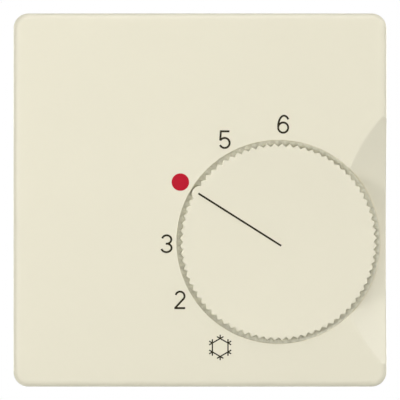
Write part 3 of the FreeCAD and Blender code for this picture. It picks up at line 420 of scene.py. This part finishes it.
class THERMOSTAT_OT_inner_finishes(bpy.types.Operator):
    """Finish the switch, the terminals and the small pieces inside"""
    bl_idname = "thermostat.inner_finishes"
    bl_label = "Inner finishes"

    def execute(self, context):
        colours = context.scene.thermostat_colours
        # Zinc plate over mild steel: cool silver, clouded where the passivation is thicker.
        zinc = surface("Steel, zinc-plated", linear("#C2C5C8"), linear("#AEB4B6"), 0.34, METAL,
                       0.2, 0.002, drift_mm=2.5)
        # Rolled brass strip: warm yellow, with fine lines along the direction of rolling.
        brass = surface("Brass, rolled and stamped", linear("#D2B067"), linear("#B8934C"), 0.32,
                        METAL, 0.15, 0.003, drift_mm=5, stretch=(1, 1, 0.12))
        # Bare copper wire: salmon pink that has browned a little in the air.
        copper = surface("Copper, drawn and braided", linear("#C9825A"), linear("#A8623F"), 0.36,
                         METAL, 0.12, 0.01, drift_mm=1.5)
        # Fine silver: white metal with the faint haze that contact rivets get in store.
        silver = surface("Silver, cold-headed", linear("#DCDAD2"), linear("#C6C0B2"), 0.25, METAL,
                         0.2, 0.001, drift_mm=1.0)
        # Sintered ferrite: near-black and dull, with the pores of the pressed powder.
        ferrite = surface("Ferrite, sintered", linear("#3B3A3A"), linear("#2C2B2B"), 0.7, PLASTIC,
                          0.12, 0.02)
        # Acetal: waxy white that the light sinks into a little.
        acetal = surface("Acetal, moulded, white", linear("#F0EEE6"), linear("#E6E3D8"), 0.38,
                         PLASTIC, 0.3, 0.003)
        cold = surface("Acetal, moulded, blue", list(colours.ring_cold),
                       shade(colours.ring_cold, 0.9), 0.38, PLASTIC, 0.3, 0.003)
        warm = surface("Acetal, moulded, red", list(colours.ring_warm),
                       shade(colours.ring_warm, 0.9), 0.38, PLASTIC, 0.3, 0.003)
        # Rolled bimetal: grey with a straw tint, its rolling lines run up the strip.
        bimetal = surface("Bimetal, cold-rolled strip", linear("#B0A999"), linear("#A0937C"), 0.3,
                          METAL, 0.15, 0.002, drift_mm=4, stretch=(1, 1, 0.1))
        dress(zinc, "pivot_pin", "pin_clip", "spindle", "spindle_clip", "friction_washer",
              "knob_clip", "bimetal_carrier", "bimetal_rivets", "armature")
        dress(brass, "cover_nut", "terminal_clamps", "live_rail", "load_rail", "neutral_rail")
        dress(copper, "resistor_leads")
        dress(silver, "fixed_contact", "moving_contact")
        dress(ferrite, "snap_magnet")
        dress(acetal, "spindle_bush", "setting_cam")
        dress(cold, "range_ring_min")
        dress(warm, "range_ring_max")
        dress(bimetal, "bimetal_strip")
        return {"FINISHED"}


# The knob, in millimetres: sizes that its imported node's box doesn't give.
TEETH = 80
KNOB_SKIRT = 20.27
KNOB_BOTTOM = 19.05
TOOTH_TIP = 19.7
TOOTH_DEPTH = 0.65
NOSE_ANGLE = 148.6
NOSE_TEETH = 2
NOSE_REACH = 0.35
DISH_DEPTH = 0.65
DISH_EDGE = 18.8
FACE_WALL = 1.6
SIDE_WALL = 1.5
COLLAR = (9.4, 8.2)          # outer and inner radius
COLLAR_DEPTH = 2.9
HUB_RADIUS = 4.2
BORE_RADIUS = 3.05
BORE_FLAT = 2.25
BORE_END = 0.2               # bore beyond the shaft's end
RIB_WIDTH = 1.0
RIBS = 6
COLUMNS_PER_TOOTH = 10
EDGE_STEPS = 5
DISH_RINGS = (0.5, 3, 6, 9, 12, 14, 16, 17.5, 18.4)          # radii on the dished face
GROOVE_FOOT = ((0, 0.1), (-0.03, 0.03), (-0.08, 0))          # rounding: inset, above the groove
SKIRT_EDGE = (0.02, 0.03)    # break of the skirt's edge: across, down
HUB_SPLIT = 0.8
HUB_SPLIT_BELOW = 3.3        # end of the hub's split under the roof
BOX_FACES = ((0, 1, 2, 3), (4, 7, 6, 5), (0, 4, 5, 1), (1, 5, 6, 2), (2, 6, 7, 3), (3, 7, 4, 0))


def knob_outline(degrees):
    """Radius in mm of the toothed outline at an angle about the knob's axis."""
    pitch = 360 / TEETH
    root = TOOTH_TIP - TOOTH_DEPTH
    from_nose = (degrees - NOSE_ANGLE + 180) % 360 - 180
    half_nose = NOSE_TEETH * pitch / 2
    if abs(from_nose) < half_nose:
        rise = TOOTH_DEPTH + NOSE_REACH
        half = math.radians(half_nose) * root
        bow = (half ** 2 + rise ** 2) / (2 * rise)
        across = math.radians(abs(from_nose)) * root
        return root + rise - bow + math.sqrt(max(bow ** 2 - across ** 2, 0))
    share = ((from_nose - half_nose) % pitch) / pitch
    return root + TOOTH_DEPTH * (1 - abs(2 * share - 1))


def inset_outline(inset):
    """The same outline, closer to the axis."""
    return lambda degrees: knob_outline(degrees) - inset


def bore(degrees):
    """Radius in mm of the knob's bore, which has a flat on its right."""
    across = math.cos(math.radians(degrees))
    return BORE_FLAT / across if across > BORE_FLAT / BORE_RADIUS else BORE_RADIUS


class THERMOSTAT_OT_knob(bpy.types.Operator):
    """Mould the setting knob with rounded tooth edges"""
    bl_idname = "thermostat.knob"
    bl_label = "Setting knob"

    def execute(self, context):
        cream = list(context.scene.thermostat_colours.cover)
        sizes = context.scene.thermostat_knob
        low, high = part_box("control_knob")
        top = -low.y / MM
        foot = -high.y / MM
        roof = top - DISH_DEPTH - FACE_WALL
        bore_end = -SPINDLE_LOW.y / MM + BORE_END
        shelf = top - sizes.shelf / MM
        groove = top - sizes.groove / MM
        edge = sizes.tooth_edge / MM
        bow = (DISH_EDGE ** 2 + DISH_DEPTH ** 2) / (2 * DISH_DEPTH)
        rows = [(reach, top - DISH_DEPTH + bow - math.sqrt(bow ** 2 - reach ** 2))
                for reach in DISH_RINGS]
        rows.append((DISH_EDGE, top))
        for step in range(EDGE_STEPS + 1):
            a = math.radians(90 - 90 * step / EDGE_STEPS)
            rows.append((inset_outline(edge * (1 - math.cos(a))),
                         top - edge + edge * math.sin(a)))
        groove_start = len(rows) - 1
        rows += [(inset_outline(inset), groove + above) for inset, above in GROOVE_FOOT]
        rows += [(KNOB_SKIRT - SKIRT_EDGE[0], shelf), (KNOB_SKIRT, shelf - SKIRT_EDGE[1])]
        groove_end = len(rows) - 1
        rows += [(KNOB_SKIRT, KNOB_BOTTOM), (KNOB_SKIRT - SIDE_WALL, KNOB_BOTTOM),
                 (KNOB_SKIRT - SIDE_WALL, roof), (COLLAR[0], roof),
                 (COLLAR[0], roof - COLLAR_DEPTH),
                 (COLLAR[1], roof - COLLAR_DEPTH), (COLLAR[1], roof), (HUB_RADIUS, roof),
                 (HUB_RADIUS, foot), (bore, foot), (bore, bore_end)]
        bm = bmesh.new()
        bands = lathe(bm, rows, "face", Vector((AXIS_X, 0, AXIS_Z)), TEETH * COLUMNS_PER_TOOTH)
        for band in bands[groove_start:groove_end]:
            for face in band:
                face.material_index = 1
        # The same plastic from a better polished tool: a little tighter highlights on the knob.
        finish = surface("ABS, satin moulded, cream knob", cream, shade(cream, 0.985), 0.42,
                         PLASTIC, 0.3, 0.004, drift_mm=25)
        self.ribs(bm, roof)
        made = piece("knob", bm, finish, "knob", smooth=30)
        # Between the teeth the tool isn't polished, so its spark-eroded grain makes the groove
        # rougher. Its
        #         cream is painted paler and greyer than the face: painted light that lifts the
        #         groove's shade.
        pale = list(context.scene.thermostat_colours.groove)
        rough = surface("ABS, spark-eroded tool, groove with painted light", pale, shade(pale, 0.985), 0.6,
                        PLASTIC, 0.3, 0.006, drift_mm=25)
        made.data.materials.append(rough)
        wide = HUB_RADIUS + 1
        split = HUB_SPLIT / 2 * MM
        end = -(roof - HUB_SPLIT_BELOW) * MM
        cut_boxes(made, [(Vector((AXIS_X - wide * MM, end, AXIS_Z - split)),
                          Vector((AXIS_X + wide * MM, -(foot - 1) * MM, AXIS_Z + split)))])
        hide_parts("control_knob")
        return {"FINISHED"}

    def ribs(self, bm, roof):
        """Ribs between the hub and the collar, each let into both and into the roof."""
        let_in = 0.3
        inner, outer = HUB_RADIUS - let_in, (COLLAR[0] + COLLAR[1]) / 2
        for i in range(RIBS):
            a = math.radians(30 + 360 * i / RIBS)
            turn = Matrix.Rotation(-a, 4, "Y")
            corners = []
            for level in (roof - COLLAR_DEPTH + 0.02, roof + let_in):
                for along, across in ((inner, -1), (outer, -1), (outer, 1), (inner, 1)):
                    spot = turn @ Vector((along, 0, across * RIB_WIDTH / 2))
                    corners.append(bm.verts.new((AXIS_X + spot.x * MM, -level * MM,
                                                 AXIS_Z + spot.z * MM)))
            for face in BOX_FACES:
                bm.faces.new([corners[k] for k in face])


SCREW_SIDES = 40
SCREW_SMOOTH = 35            # degrees: softer edges of the turned metal are shaded smooth


class THERMOSTAT_OT_screws(bpy.types.Operator):
    """Turn the screws, with driver slots and rolled threads"""
    bl_idname = "thermostat.screws"
    bl_label = "Screws"

    def execute(self, context):
        zinc = bpy.data.materials["Steel, zinc-plated"]
        brass = bpy.data.materials["Brass, rolled and stamped"]
        self.cover_screw(zinc)
        self.terminal_screws(zinc)
        self.calibration_screw(brass)
        return {"FINISHED"}

    def screw(self, bm, axis, centre, top, head, shank, pitch, point=0.4):
        """One screw: its head's radius and height, its thread's radius and end, pitch, in mm."""
        head_radius, head_height = head
        shank_radius, end = shank
        way = 1 if end > top else -1
        under = top + way * head_height
        rows = [(head_radius * 0.5, top), (head_radius - 0.45, top),
                (head_radius - 0.2, top + way * 0.06), (head_radius - 0.05, top + way * 0.2),
                (head_radius, top + way * 0.45), (head_radius, under - way * 0.1),
                (head_radius - 0.1, under), (shank_radius - 0.1, under)]
        rows += threaded(shank_radius, under + way * 0.1, end - way * point, pitch)
        rows += [(shank_radius * 0.45, end)]
        lathe(bm, rows, axis, centre, SCREW_SIDES)

    def slots(self, made, centre, top, slots, depth):
        """Cuts slots into a head, each given as half its size across and half its size up."""
        cut_boxes(made, [(centre + Vector((-dx, -top * MM - MM, -dz)),
                          centre + Vector((dx, -top * MM + depth, dz))) for dx, dz in slots],
                  SCREW_SMOOTH)

    def cover_screw(self, material):
        """Pan head with a cross recess, coarse thread."""
        low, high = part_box("cover_screw")
        centre = Vector(((low.x + high.x) / 2, 0, (low.z + high.z) / 2))
        top = -low.y / MM
        head_height, shank_radius, pitch = 1.7, 1.45, 0.8
        bm = bmesh.new()
        self.screw(bm, "face", centre, top, ((high.x - low.x) / MM / 2, head_height),
                   (shank_radius, -high.y / MM), pitch)
        made = piece("cover_screw_turned", bm, material, "case",
                     smooth=SCREW_SMOOTH)
        reach, half_width = 1.35 * MM, 0.3 * MM
        self.slots(made, centre, top, ((reach, half_width), (half_width, reach)), 1.1 * MM)
        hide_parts("cover_screw")

    def terminal_screws(self, material):
        """Four cheese heads with one slot each, each slot left where its driver stopped."""
        low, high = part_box("terminal_screws")
        radius, head_height, shank_radius, pitch = 2.2, 2.0, 1.35, 0.6
        z = (low.z + high.z) / 2
        top = -low.y / MM
        spacing = ((high.x - low.x) / MM - 2 * radius) / 3
        reach, half_width = (radius + 1) * MM, 0.3 * MM
        for i in range(4):
            centre = Vector((low.x + (radius + i * spacing) * MM, 0, z))
            bm = bmesh.new()
            self.screw(bm, "face", centre, top, (radius, head_height),
                       (shank_radius, -high.y / MM), pitch)
            made = piece("terminal_screw_%d" % (i + 1), bm, material, "case",
                         smooth=SCREW_SMOOTH)
            self.slots(made, centre, top, ((reach, half_width),), 0.9 * MM)
            stopped_at = math.radians(25 + 47 * i)
            turn = Matrix.Rotation(stopped_at, 4, "Y")
            made.data.transform(Matrix.Translation(centre) @ turn @ Matrix.Translation(-centre))
            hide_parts("terminal_screws")

    def calibration_screw(self, material):
        """Fine thread through the lever's boss, with a polished ball end on the cam."""
        low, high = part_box("calibration_screw")
        centre = Vector((0, (low.y + high.y) / 2, (low.z + high.z) / 2))
        head_radius = (high.z - low.z) / MM / 2
        left, right = low.x / MM, high.x / MM
        head_height, shank_radius, pitch, plain_end = 1.6, 1.25, 0.5, 1.4
        bm = bmesh.new()
        rows = [(head_radius * 0.5, left), (head_radius - 0.15, left), (head_radius, left + 0.15),
                (head_radius, left + head_height - 0.1), (head_radius - 0.1, left + head_height),
                (shank_radius, left + head_height)]
        rows += threaded(shank_radius, left + head_height + 0.1, right - plain_end, pitch)
        for degrees in (0, 20, 40, 60, 75, 85):
            a = math.radians(degrees)
            rows.append((shank_radius * math.cos(a), right - shank_radius * (1 - math.sin(a))))
        lathe(bm, rows, "across", centre, SCREW_SIDES)
        made = piece("calibration_screw_turned", bm, material, "lever",
                     smooth=SCREW_SMOOTH)
        reach, half_width, depth = (head_radius + 1) * MM, 0.25 * MM, 0.9 * MM
        cut_boxes(made, [(Vector((low.x - MM, centre.y - half_width, centre.z - reach)),
                          Vector((low.x + depth, centre.y + half_width, centre.z + reach)))],
                  SCREW_SMOOTH)
        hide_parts("calibration_screw")


class THERMOSTAT_OT_spring(bpy.types.Operator):
    """Wind the lever's spring, with closed end coils"""
    bl_idname = "thermostat.spring"
    bl_label = "Lever spring"

    def execute(self, context):
        low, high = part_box("lever_spring")
        wire = 0.3 * MM
        centre = (low + high) / 2
        radius = (high.z - low.z) / 2 - wire
        turns, closed, steps = 6.5, 0.9, 36      # closed turns at each end, points a turn
        span = high.x - low.x - 2 * wire
        lead = 2.05 * wire                       # of the closed turns, which nearly touch
        open_turns = turns - 2 * closed
        points = []
        for i in range(int(turns * steps) + 1):
            turn = i / steps
            a = 2 * math.pi * turn
            if turn < closed:
                x = turn * lead
            elif turn > turns - closed:
                x = span - (turns - turn) * lead
            else:
                x = closed * lead + (turn - closed) / open_turns * (span - 2 * closed * lead)
            points.append(Vector((low.x + wire + x, centre.y + radius * math.sin(a),
                                  centre.z + radius * math.cos(a))))
        bm = bmesh.new()
        tube(bm, points, wire)
        # Hard-drawn spring wire: bright and smooth, with faint lines from the drawing die.
        finish = surface("Spring steel, drawn and wound", linear("#A9ADB0"), linear("#8E9397"),
                         0.28, METAL, 0.15, 0.002, drift_mm=1.2)
        # Its right end sits on the base's post, its left end on the lever.
        span_ends = {"a": "case", "b": "lever", "start": (high.x, centre.y, centre.z),
                     "end": (low.x, centre.y, centre.z)}
        made = piece("lever_spring_wound", bm, finish, span_ends, smooth=60)
        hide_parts("lever_spring")
        return {"FINISHED"}


# The flexible lead's route in mm: across, height off the wall, up.
LEAD_ROUTE = [(-14.95, 4.4, 26.65), (-14.95, 6.0, 28.4), (-16.95, 9.15, 29.35),
              (-19.62, 10.75, 28.35), (-21.32, 10.75, 26.75)]


class THERMOSTAT_OT_lead(bpy.types.Operator):
    """Braid the flexible lead from the rail to the lever"""
    bl_idname = "thermostat.lead"
    bl_label = "Flexible lead"

    def execute(self, context):
        curve = bpy.data.curves.new("lead_route", "CURVE")
        curve.dimensions = "3D"
        spline = curve.splines.new("NURBS")
        spline.points.add(len(LEAD_ROUTE) - 1)
        for point, (x, level, z) in zip(spline.points, LEAD_ROUTE):
            point.co = (x * MM, -level * MM, z * MM, 1)
        spline.order_u = 3
        spline.use_endpoint_u = True
        spline.resolution_u = 40
        holder = bpy.data.objects.new("lead_route", curve)
        bpy.context.scene.collection.objects.link(holder)
        bpy.context.view_layer.update()
        shown = holder.evaluated_get(bpy.context.evaluated_depsgraph_get())
        path = [v.co.copy() for v in bpy.data.meshes.new_from_object(shown).vertices]
        bpy.data.objects.remove(holder)
        bm = bmesh.new()
        strand, reach, weave, lay = 0.13 * MM, 0.36 * MM, 0.09 * MM, 3.2 * MM
        strands = 6
        for way in (1, -1):
            for k in range(strands):
                course = []
                length = 0.0
                for i, point in enumerate(path):
                    if i:
                        length += (point - path[i - 1]).length
                    along = (path[min(i + 1, len(path) - 1)] - path[max(i - 1, 0)]).normalized()
                    side = Vector((0, 0, 1)).cross(along).normalized()
                    up = along.cross(side)
                    a = way * 2 * math.pi * length / lay + 2 * math.pi * k / strands
                    under = 0 if way > 0 else math.pi
                    over = math.cos(2 * math.pi * length / lay * strands + under)
                    r = reach + weave * over
                    course.append(point + (side * math.cos(a) + up * math.sin(a)) * r)
                tube(bm, course, strand, 6)
        ends = {"a": "case", "b": "lever", "start": path[0], "end": path[-1]}
        made = piece("flexible_lead", bm, bpy.data.materials["Copper, drawn and braided"], ends,
                     smooth=60)
        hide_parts("bimetal_lead")
        return {"FINISHED"}


class THERMOSTAT_OT_resistor(bpy.types.Operator):
    """Form the feedback resistor with swollen ends and colour bands"""
    bl_idname = "thermostat.resistor"
    bl_label = "Feedback resistor"

    def execute(self, context):
        low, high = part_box("feedback_resistor")
        centre = Vector(((low.x + high.x) / 2, (low.y + high.y) / 2, 0))
        radius = (high.x - low.x) / MM / 2
        start, end = low.z / MM, high.z / MM
        waist = radius - 0.25
        # Middle of each colour band, in mm from the lower end, and the material slot it takes.
        bands = {2.6: 1, 3.9: 2, 5.2: 3, 7.2: 4}
        half_band = 0.35
        rows = [(0.5, start), (radius - 0.9, start), (radius - 0.35, start + 0.25),
                (radius, start + 0.9), (radius, start + 1.5), (waist, start + 2.1)]
        kinds = [0] * len(rows)
        for place, kind in bands.items():
            rows += [(waist, start + place - half_band), (waist, start + place + half_band)]
            kinds += [kind, 0]
        rows += [(waist, end - 2.1), (radius, end - 1.5), (radius, end - 0.9),
                 (radius - 0.35, end - 0.25), (radius - 0.9, end), (0.5, end)]
        kinds += [0] * 6
        bm = bmesh.new()
        for ring, kind in zip(lathe(bm, rows, "up", centre), kinds):
            for face in ring:
                face.material_index = kind
        # Lacquer on a ceramic body: brown, glossy and slightly uneven.
        lacquer = surface("Lacquer, dipped, brown", linear("#8A6238"), linear("#6F4C2B"), 0.22,
                          PLASTIC, 0.6, 0.02, drift_mm=2)
        made = piece("resistor_body", bm, lacquer, "case", smooth=35)
        # Bands of enamel, brushed on the turning body: flat, opaque colours under the same gloss.
        for label, colour in (("yellow", "#D9B62C"), ("violet", "#5C3A86"), ("brown", "#4A2A16"),
                              ("gold", "#B8923C")):
            made.data.materials.append(surface("Enamel, brushed, " + label, linear(colour),
                                               shade(linear(colour), 0.9), 0.25, PLASTIC, 0.4, 0.01,
                                               drift_mm=1.0))
        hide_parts("feedback_resistor")
        return {"FINISHED"}


# Strokes of the figures, in millimetres from each figure's middle, for a height of 3.7 mm.
FIGURE_DESIGN_HEIGHT = 3.7
FIGURES = {
    "2": [arc(0.06, 0.75, 0.89, 0.9, 166, -36) + line((0.74, 0.2), (-0.93, -1.62))[1:],
          line((-1.08, -1.65), (1.08, -1.65))],
    "3": [arc(0.03, 0.84, 0.92, 0.84, 165, -90), arc(-0.02, -0.83, 1.02, 0.85, 90, -166),
          line((-0.16, 0.0), (0.12, 0.0))],
    "5": [line((-1.02, 1.67), (0.9, 1.67)), line((-0.84, 1.67), (-0.95, -0.16)),
          arc(-0.07, -0.65, 1.0, 1.0, 152, -156)],
    "6": [arc(0.17, -0.56, 1.17, 2.26, 42, 180), arc(0.0, -0.69, 1.0, 1.02, 180, 540, 48)],
}
# Where each mark of the scale stands: its angle about the knob's axis and its distance in mm.
SCALE = {"6": (87.7, 23.6), "5": (117.6, 23.1), "3": (180.9, 22.4), "2": (210.4, 22.9)}
DOT_PLACE = (148.6, 23.0)
FROST_PLACE = (241.1, 24.13)
FROST_SPIKE = 0.42           # spikes of the frost mark, as a share of its radius
POINTER_ANGLE = 147.7
POINTER_OFFSET = 0.35        # the line runs this far beside the axis
POINTER_TAIL = 0.89          # beyond the axis
POINTER_TIP = 18.74


def dial_place(angle, radius_mm):
    """Place on the face at an angle in degrees and a distance about the knob's axis."""
    a = math.radians(angle)
    return AXIS_X + radius_mm * MM * math.cos(a), AXIS_Z + radius_mm * MM * math.sin(a)


def ink_material(name, colour, roughness):
    """Ink that has dried matt: its skin gives back less light than a plastic's."""
    return surface(name, colour, shade(colour, 0.9), roughness,
                   {"IOR": 1.5, "Specular IOR Level": 0.2}, 0.25, 0.003, drift_mm=1.5)


class THERMOSTAT_OT_scale(bpy.types.Operator):
    """Print the figures, the dot and the frost mark round the knob"""
    bl_idname = "thermostat.scale"
    bl_label = "Printed scale"

    def execute(self, context):
        sizes = context.scene.thermostat_print
        colours = context.scene.thermostat_colours
        level = front_of(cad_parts["front_cover"])
        # Pad-printed ink: dark olive-grey, a little duller than the plastic, with a soft edge.
        dark = ink_material("Ink, pad-printed, dark", list(colours.print_ink), 0.5)
        red = ink_material("Ink, pad-printed, red", list(colours.dot_ink), 0.42)
        grow = sizes.figure_height / FIGURE_DESIGN_HEIGHT
        for figure, strokes in FIGURES.items():
            x, z = dial_place(*SCALE[figure])
            bm = bmesh.new()
            for order, stroke in enumerate(strokes):
                points = [(x + px * grow, z + pz * grow) for px, pz in stroke]
                ink_stroke(bm, points, sizes.stroke, level, sizes.ink * (1 + 0.15 * order))
            piece("figure_" + figure, bm, dark, "case")
        self.frost_mark(sizes, level, dark)
        self.dot(sizes, level, red)
        return {"FINISHED"}

    def frost_mark(self, sizes, level, ink):
        """Hexagon whose sides run on past its corners, with a spike out of each corner."""
        x, z = dial_place(*FROST_PLACE)
        radius = sizes.frost_radius
        spike = FROST_SPIKE * radius
        corners = []
        for i in range(6):
            a = math.radians(90 + 60 * i)
            corners.append(Vector((x + radius * math.cos(a), z + radius * math.sin(a))))
        bm = bmesh.new()
        step = 0.2 * MM
        for i, corner in enumerate(corners):
            following = corners[(i + 1) % 6]
            on = (following - corner).normalized() * spike
            side = line(tuple(corner - on), tuple(following + on), step=step)
            ink_stroke(bm, side, sizes.frost_stroke, level, sizes.ink * (1 + 0.1 * (i % 3)))
            out = (corner - Vector((x, z))).normalized() * spike
            ink_stroke(bm, line(tuple(corner), tuple(corner + out), step=step),
                       sizes.frost_stroke, level, sizes.ink * 1.35)
        piece("frost_mark", bm, ink, "case")

    def dot(self, sizes, level, ink):
        """Round spot of ink, thinner at its rim."""
        x, z = dial_place(*DOT_PLACE)
        bm = bmesh.new()
        radius = sizes.dot / 2
        count = 64
        rings = []
        for reach, rise in ((0.5, 1.2), (0.97, 1.0), (1.0, 0.6), (1.0, -0.2), (0.5, -0.2)):
            ring = []
            for i in range(count):
                a = 2 * math.pi * i / count
                px = x + radius * reach * math.cos(a)
                pz = z + radius * reach * math.sin(a)
                ring.append(bm.verts.new((px, level(px, pz) - rise * sizes.ink, pz)))
            rings.append(ring)
        skin(bm, rings, closed=False)
        for ring, rise in ((rings[0], 1.2), (rings[-1], -0.2)):
            middle = bm.verts.new((x, level(x, z) - rise * sizes.ink, z))
            for i in range(count):
                bm.faces.new((middle, ring[i], ring[(i + 1) % count]))
        piece("usual_setting_dot", bm, ink, "case")


class THERMOSTAT_OT_pointer(bpy.types.Operator):
    """Print the pointer line across the knob's dished face"""
    bl_idname = "thermostat.pointer"
    bl_label = "Pointer line"

    def execute(self, context):
        sizes = context.scene.thermostat_print
        level = front_of(bpy.data.objects["knob"])
        # Foil stamped into the plastic: the same dark tone, a little smoother than printed ink.
        ink = ink_material("Ink, hot-stamped, dark",
                           list(context.scene.thermostat_colours.print_ink), 0.45)
        a = math.radians(POINTER_ANGLE)
        along = Vector((math.cos(a), math.sin(a))) * MM
        beside = Vector((AXIS_X, AXIS_Z)) + Vector((-along.y, along.x)) * POINTER_OFFSET
        points = line(tuple(beside - along * POINTER_TAIL), tuple(beside + along * POINTER_TIP),
                      step=0.3 * MM)
        bm = bmesh.new()
        ink_stroke(bm, points, sizes.pointer, level, sizes.ink)
        piece("pointer_line", bm, ink, "knob")
        return {"FINISHED"}


# Lamps: degrees off the face's axis, degrees in the plane of the face from the right, the lamp's
# width and distance in metres, and the level that it takes.
LAMPS = (("right_lamp", 65, 30, 0.4, 1.0, "right"),
         ("top_lamp", 65, 90, 0.5, 1.0, "top"),
         ("front_top_lamp", 35, 90, 0.4, 1.0, "front_top"),
         ("front_left_lamp", 35, 180, 0.12, 0.6, "front_left"),
         ("rear_right_lamp", 150, 0, 0.4, 1.0, "back"),
         ("rear_left_lamp", 150, 180, 0.4, 1.0, "back"))


class THERMOSTAT_OT_stage(bpy.types.Operator):
    """Set up the floor, the lamps, the background and the camera"""
    bl_idname = "thermostat.stage"
    bl_label = "Studio"

    def execute(self, context):
        studio = context.scene.thermostat_studio
        scene = context.scene
        scene.view_settings.view_transform = "Standard"
        self.floor(studio)
        for name, off_axis, in_plane, width, distance, level in LAMPS:
            self.lamp(name, off_axis, in_plane, width, distance, getattr(studio, level))
        self.background(scene, studio)
        data = bpy.data.cameras.new("view_camera")
        data.sensor_width = 36.0
        data.lens = data.sensor_width * studio.distance / studio.view_width
        data.clip_end = 20.0
        camera = bpy.data.objects.new("view_camera", data)
        camera.location = (0, FACE - studio.distance, 0)
        camera.rotation_euler = (math.radians(90), 0, 0)
        scene.collection.objects.link(camera)
        scene.camera = camera
        return {"FINISHED"}

    def lamp(self, name, off_axis, in_plane, width, distance, level):
        """Soft square lamp. A surface that faces it gets its level of light."""
        off, turn = math.radians(off_axis), math.radians(in_plane)
        towards = Vector((math.sin(off) * math.cos(turn), -math.cos(off),
                          math.sin(off) * math.sin(turn)))
        light = bpy.data.lights.new(name, "AREA")
        light.shape = "SQUARE"
        light.size = width
        light.energy = level * (math.pi * distance) ** 2
        made = bpy.data.objects.new(name, light)
        made.location = towards * distance
        made.rotation_euler = towards.to_track_quat("Z", "Y").to_euler()
        bpy.context.scene.collection.objects.link(made)

    def looked_at(self, tree):
        """Socket that says if the camera looks there: straight on, in gloss or through glass."""
        path = add(tree, "ShaderNodeLightPath").outputs
        seen = add(tree, "ShaderNodeMath", {"operation": "MAXIMUM"},
                   {0: path["Is Camera Ray"], 1: path["Is Glossy Ray"]})
        return add(tree, "ShaderNodeMath", {"operation": "MAXIMUM"},
                   {0: seen.outputs[0], 1: path["Is Transmission Ray"]}).outputs[0]

    def floor(self, studio):
        """Wide round board of pale paint, level with a table below the case."""
        bm = bmesh.new()
        radius, thickness, bevel, count = 1.2, 0.02, 0.006, 96
        rings = []
        for reach, drop in ((radius - bevel, 0), (radius, bevel), (radius, thickness)):
            ring = []
            for i in range(count):
                a = 2 * math.pi * i / count
                ring.append(bm.verts.new((reach * math.cos(a), reach * math.sin(a),
                                          -studio.floor_drop - drop)))
            rings.append(ring)
        skin(bm, rings)
        bmesh.ops.recalc_face_normals(bm, faces=bm.faces)
        mesh = bpy.data.meshes.new("floor")
        bm.to_mesh(mesh)
        bm.free()
        # Emulsion paint: matt and nearly white, so that it sends a soft light back up.
        paint = surface("Emulsion paint, rolled, pale", linear("#F1F1EF"), linear("#ECECE9"),
                        0.8, {"IOR": 1.5}, 2.0, 0.05, drift_mm=120)
        tree = paint.node_tree
        output = next(n for n in tree.nodes if n.type == "OUTPUT_MATERIAL")
        painted = output.inputs["Surface"].links[0].from_socket
        share = add(tree, "ShaderNodeMath", {"operation": "MULTIPLY", 1: FLOOR_PALENESS},
                    {0: self.looked_at(tree)})
        glow = add(tree, "ShaderNodeEmission", {"Strength": 1.0})
        mixed = add(tree, "ShaderNodeMixShader", None,
                    {0: share.outputs[0], 1: painted, 2: glow.outputs[0]})
        tree.links.new(mixed.outputs[0], output.inputs["Surface"])
        mesh.materials.append(paint)
        made = bpy.data.objects.new("floor", mesh)
        bpy.context.scene.collection.objects.link(made)

    def background(self, scene, studio):
        """White where the camera, gloss and glass look, and an even fill for everything else."""
        world = bpy.data.worlds.new("studio")
        scene.world = world
        world.use_nodes = True
        tree = world.node_tree
        tree.nodes.clear()
        dim = add(tree, "ShaderNodeBackground",
                  {"Color": linear(FILL_COLOUR), "Strength": studio.fill})
        bright = add(tree, "ShaderNodeBackground", {"Color": (1, 1, 1, 1), "Strength": 1.0})
        mix = add(tree, "ShaderNodeMixShader", None,
                  {0: self.looked_at(tree), 1: dim.outputs[0], 2: bright.outputs[0]})
        add(tree, "ShaderNodeOutputWorld", links={"Surface": mix.outputs[0]})


# --- panel and registration -------------------------------------------------------------------
STEPS = (THERMOSTAT_OT_mouldings, THERMOSTAT_OT_inner_finishes, THERMOSTAT_OT_knob,
         THERMOSTAT_OT_screws, THERMOSTAT_OT_spring, THERMOSTAT_OT_lead, THERMOSTAT_OT_resistor,
         THERMOSTAT_OT_scale, THERMOSTAT_OT_pointer, THERMOSTAT_OT_stage)
GROUPS = {"thermostat_print": ThermostatPrint, "thermostat_knob": ThermostatKnob,
          "thermostat_colours": ThermostatColours, "thermostat_studio": ThermostatStudio}


class THERMOSTAT_PT_panel(bpy.types.Panel):
    """Sizes, colours and steps of the thermostat"""
    bl_idname = "THERMOSTAT_PT_panel"
    bl_label = "Wall thermostat"
    bl_space_type = "VIEW_3D"
    bl_region_type = "UI"
    bl_category = "Thermostat"

    def draw(self, context):
        for group in GROUPS:
            values = getattr(context.scene, group)
            column = self.layout.column(align=True)
            for name in values.__annotations__:
                column.prop(values, name)
        for step in STEPS:
            self.layout.operator(step.bl_idname)


def register():
    for group in GROUPS.values():
        bpy.utils.register_class(group)
    for step in STEPS:
        bpy.utils.register_class(step)
    bpy.utils.register_class(THERMOSTAT_PT_panel)
    for name, group in GROUPS.items():
        setattr(bpy.types.Scene, name, PointerProperty(type=group))


def unregister():
    for name in GROUPS:
        delattr(bpy.types.Scene, name)
    bpy.utils.unregister_class(THERMOSTAT_PT_panel)
    for step in reversed(STEPS):
        bpy.utils.unregister_class(step)
    for group in reversed(list(GROUPS.values())):
        bpy.utils.unregister_class(group)


def main():
    register()
    for step in STEPS:
        name = step.bl_idname.split(".")[1]
        getattr(bpy.ops.thermostat, name)()
    bpy.context.view_layer.update()


if __name__ == "__main__":
    main()
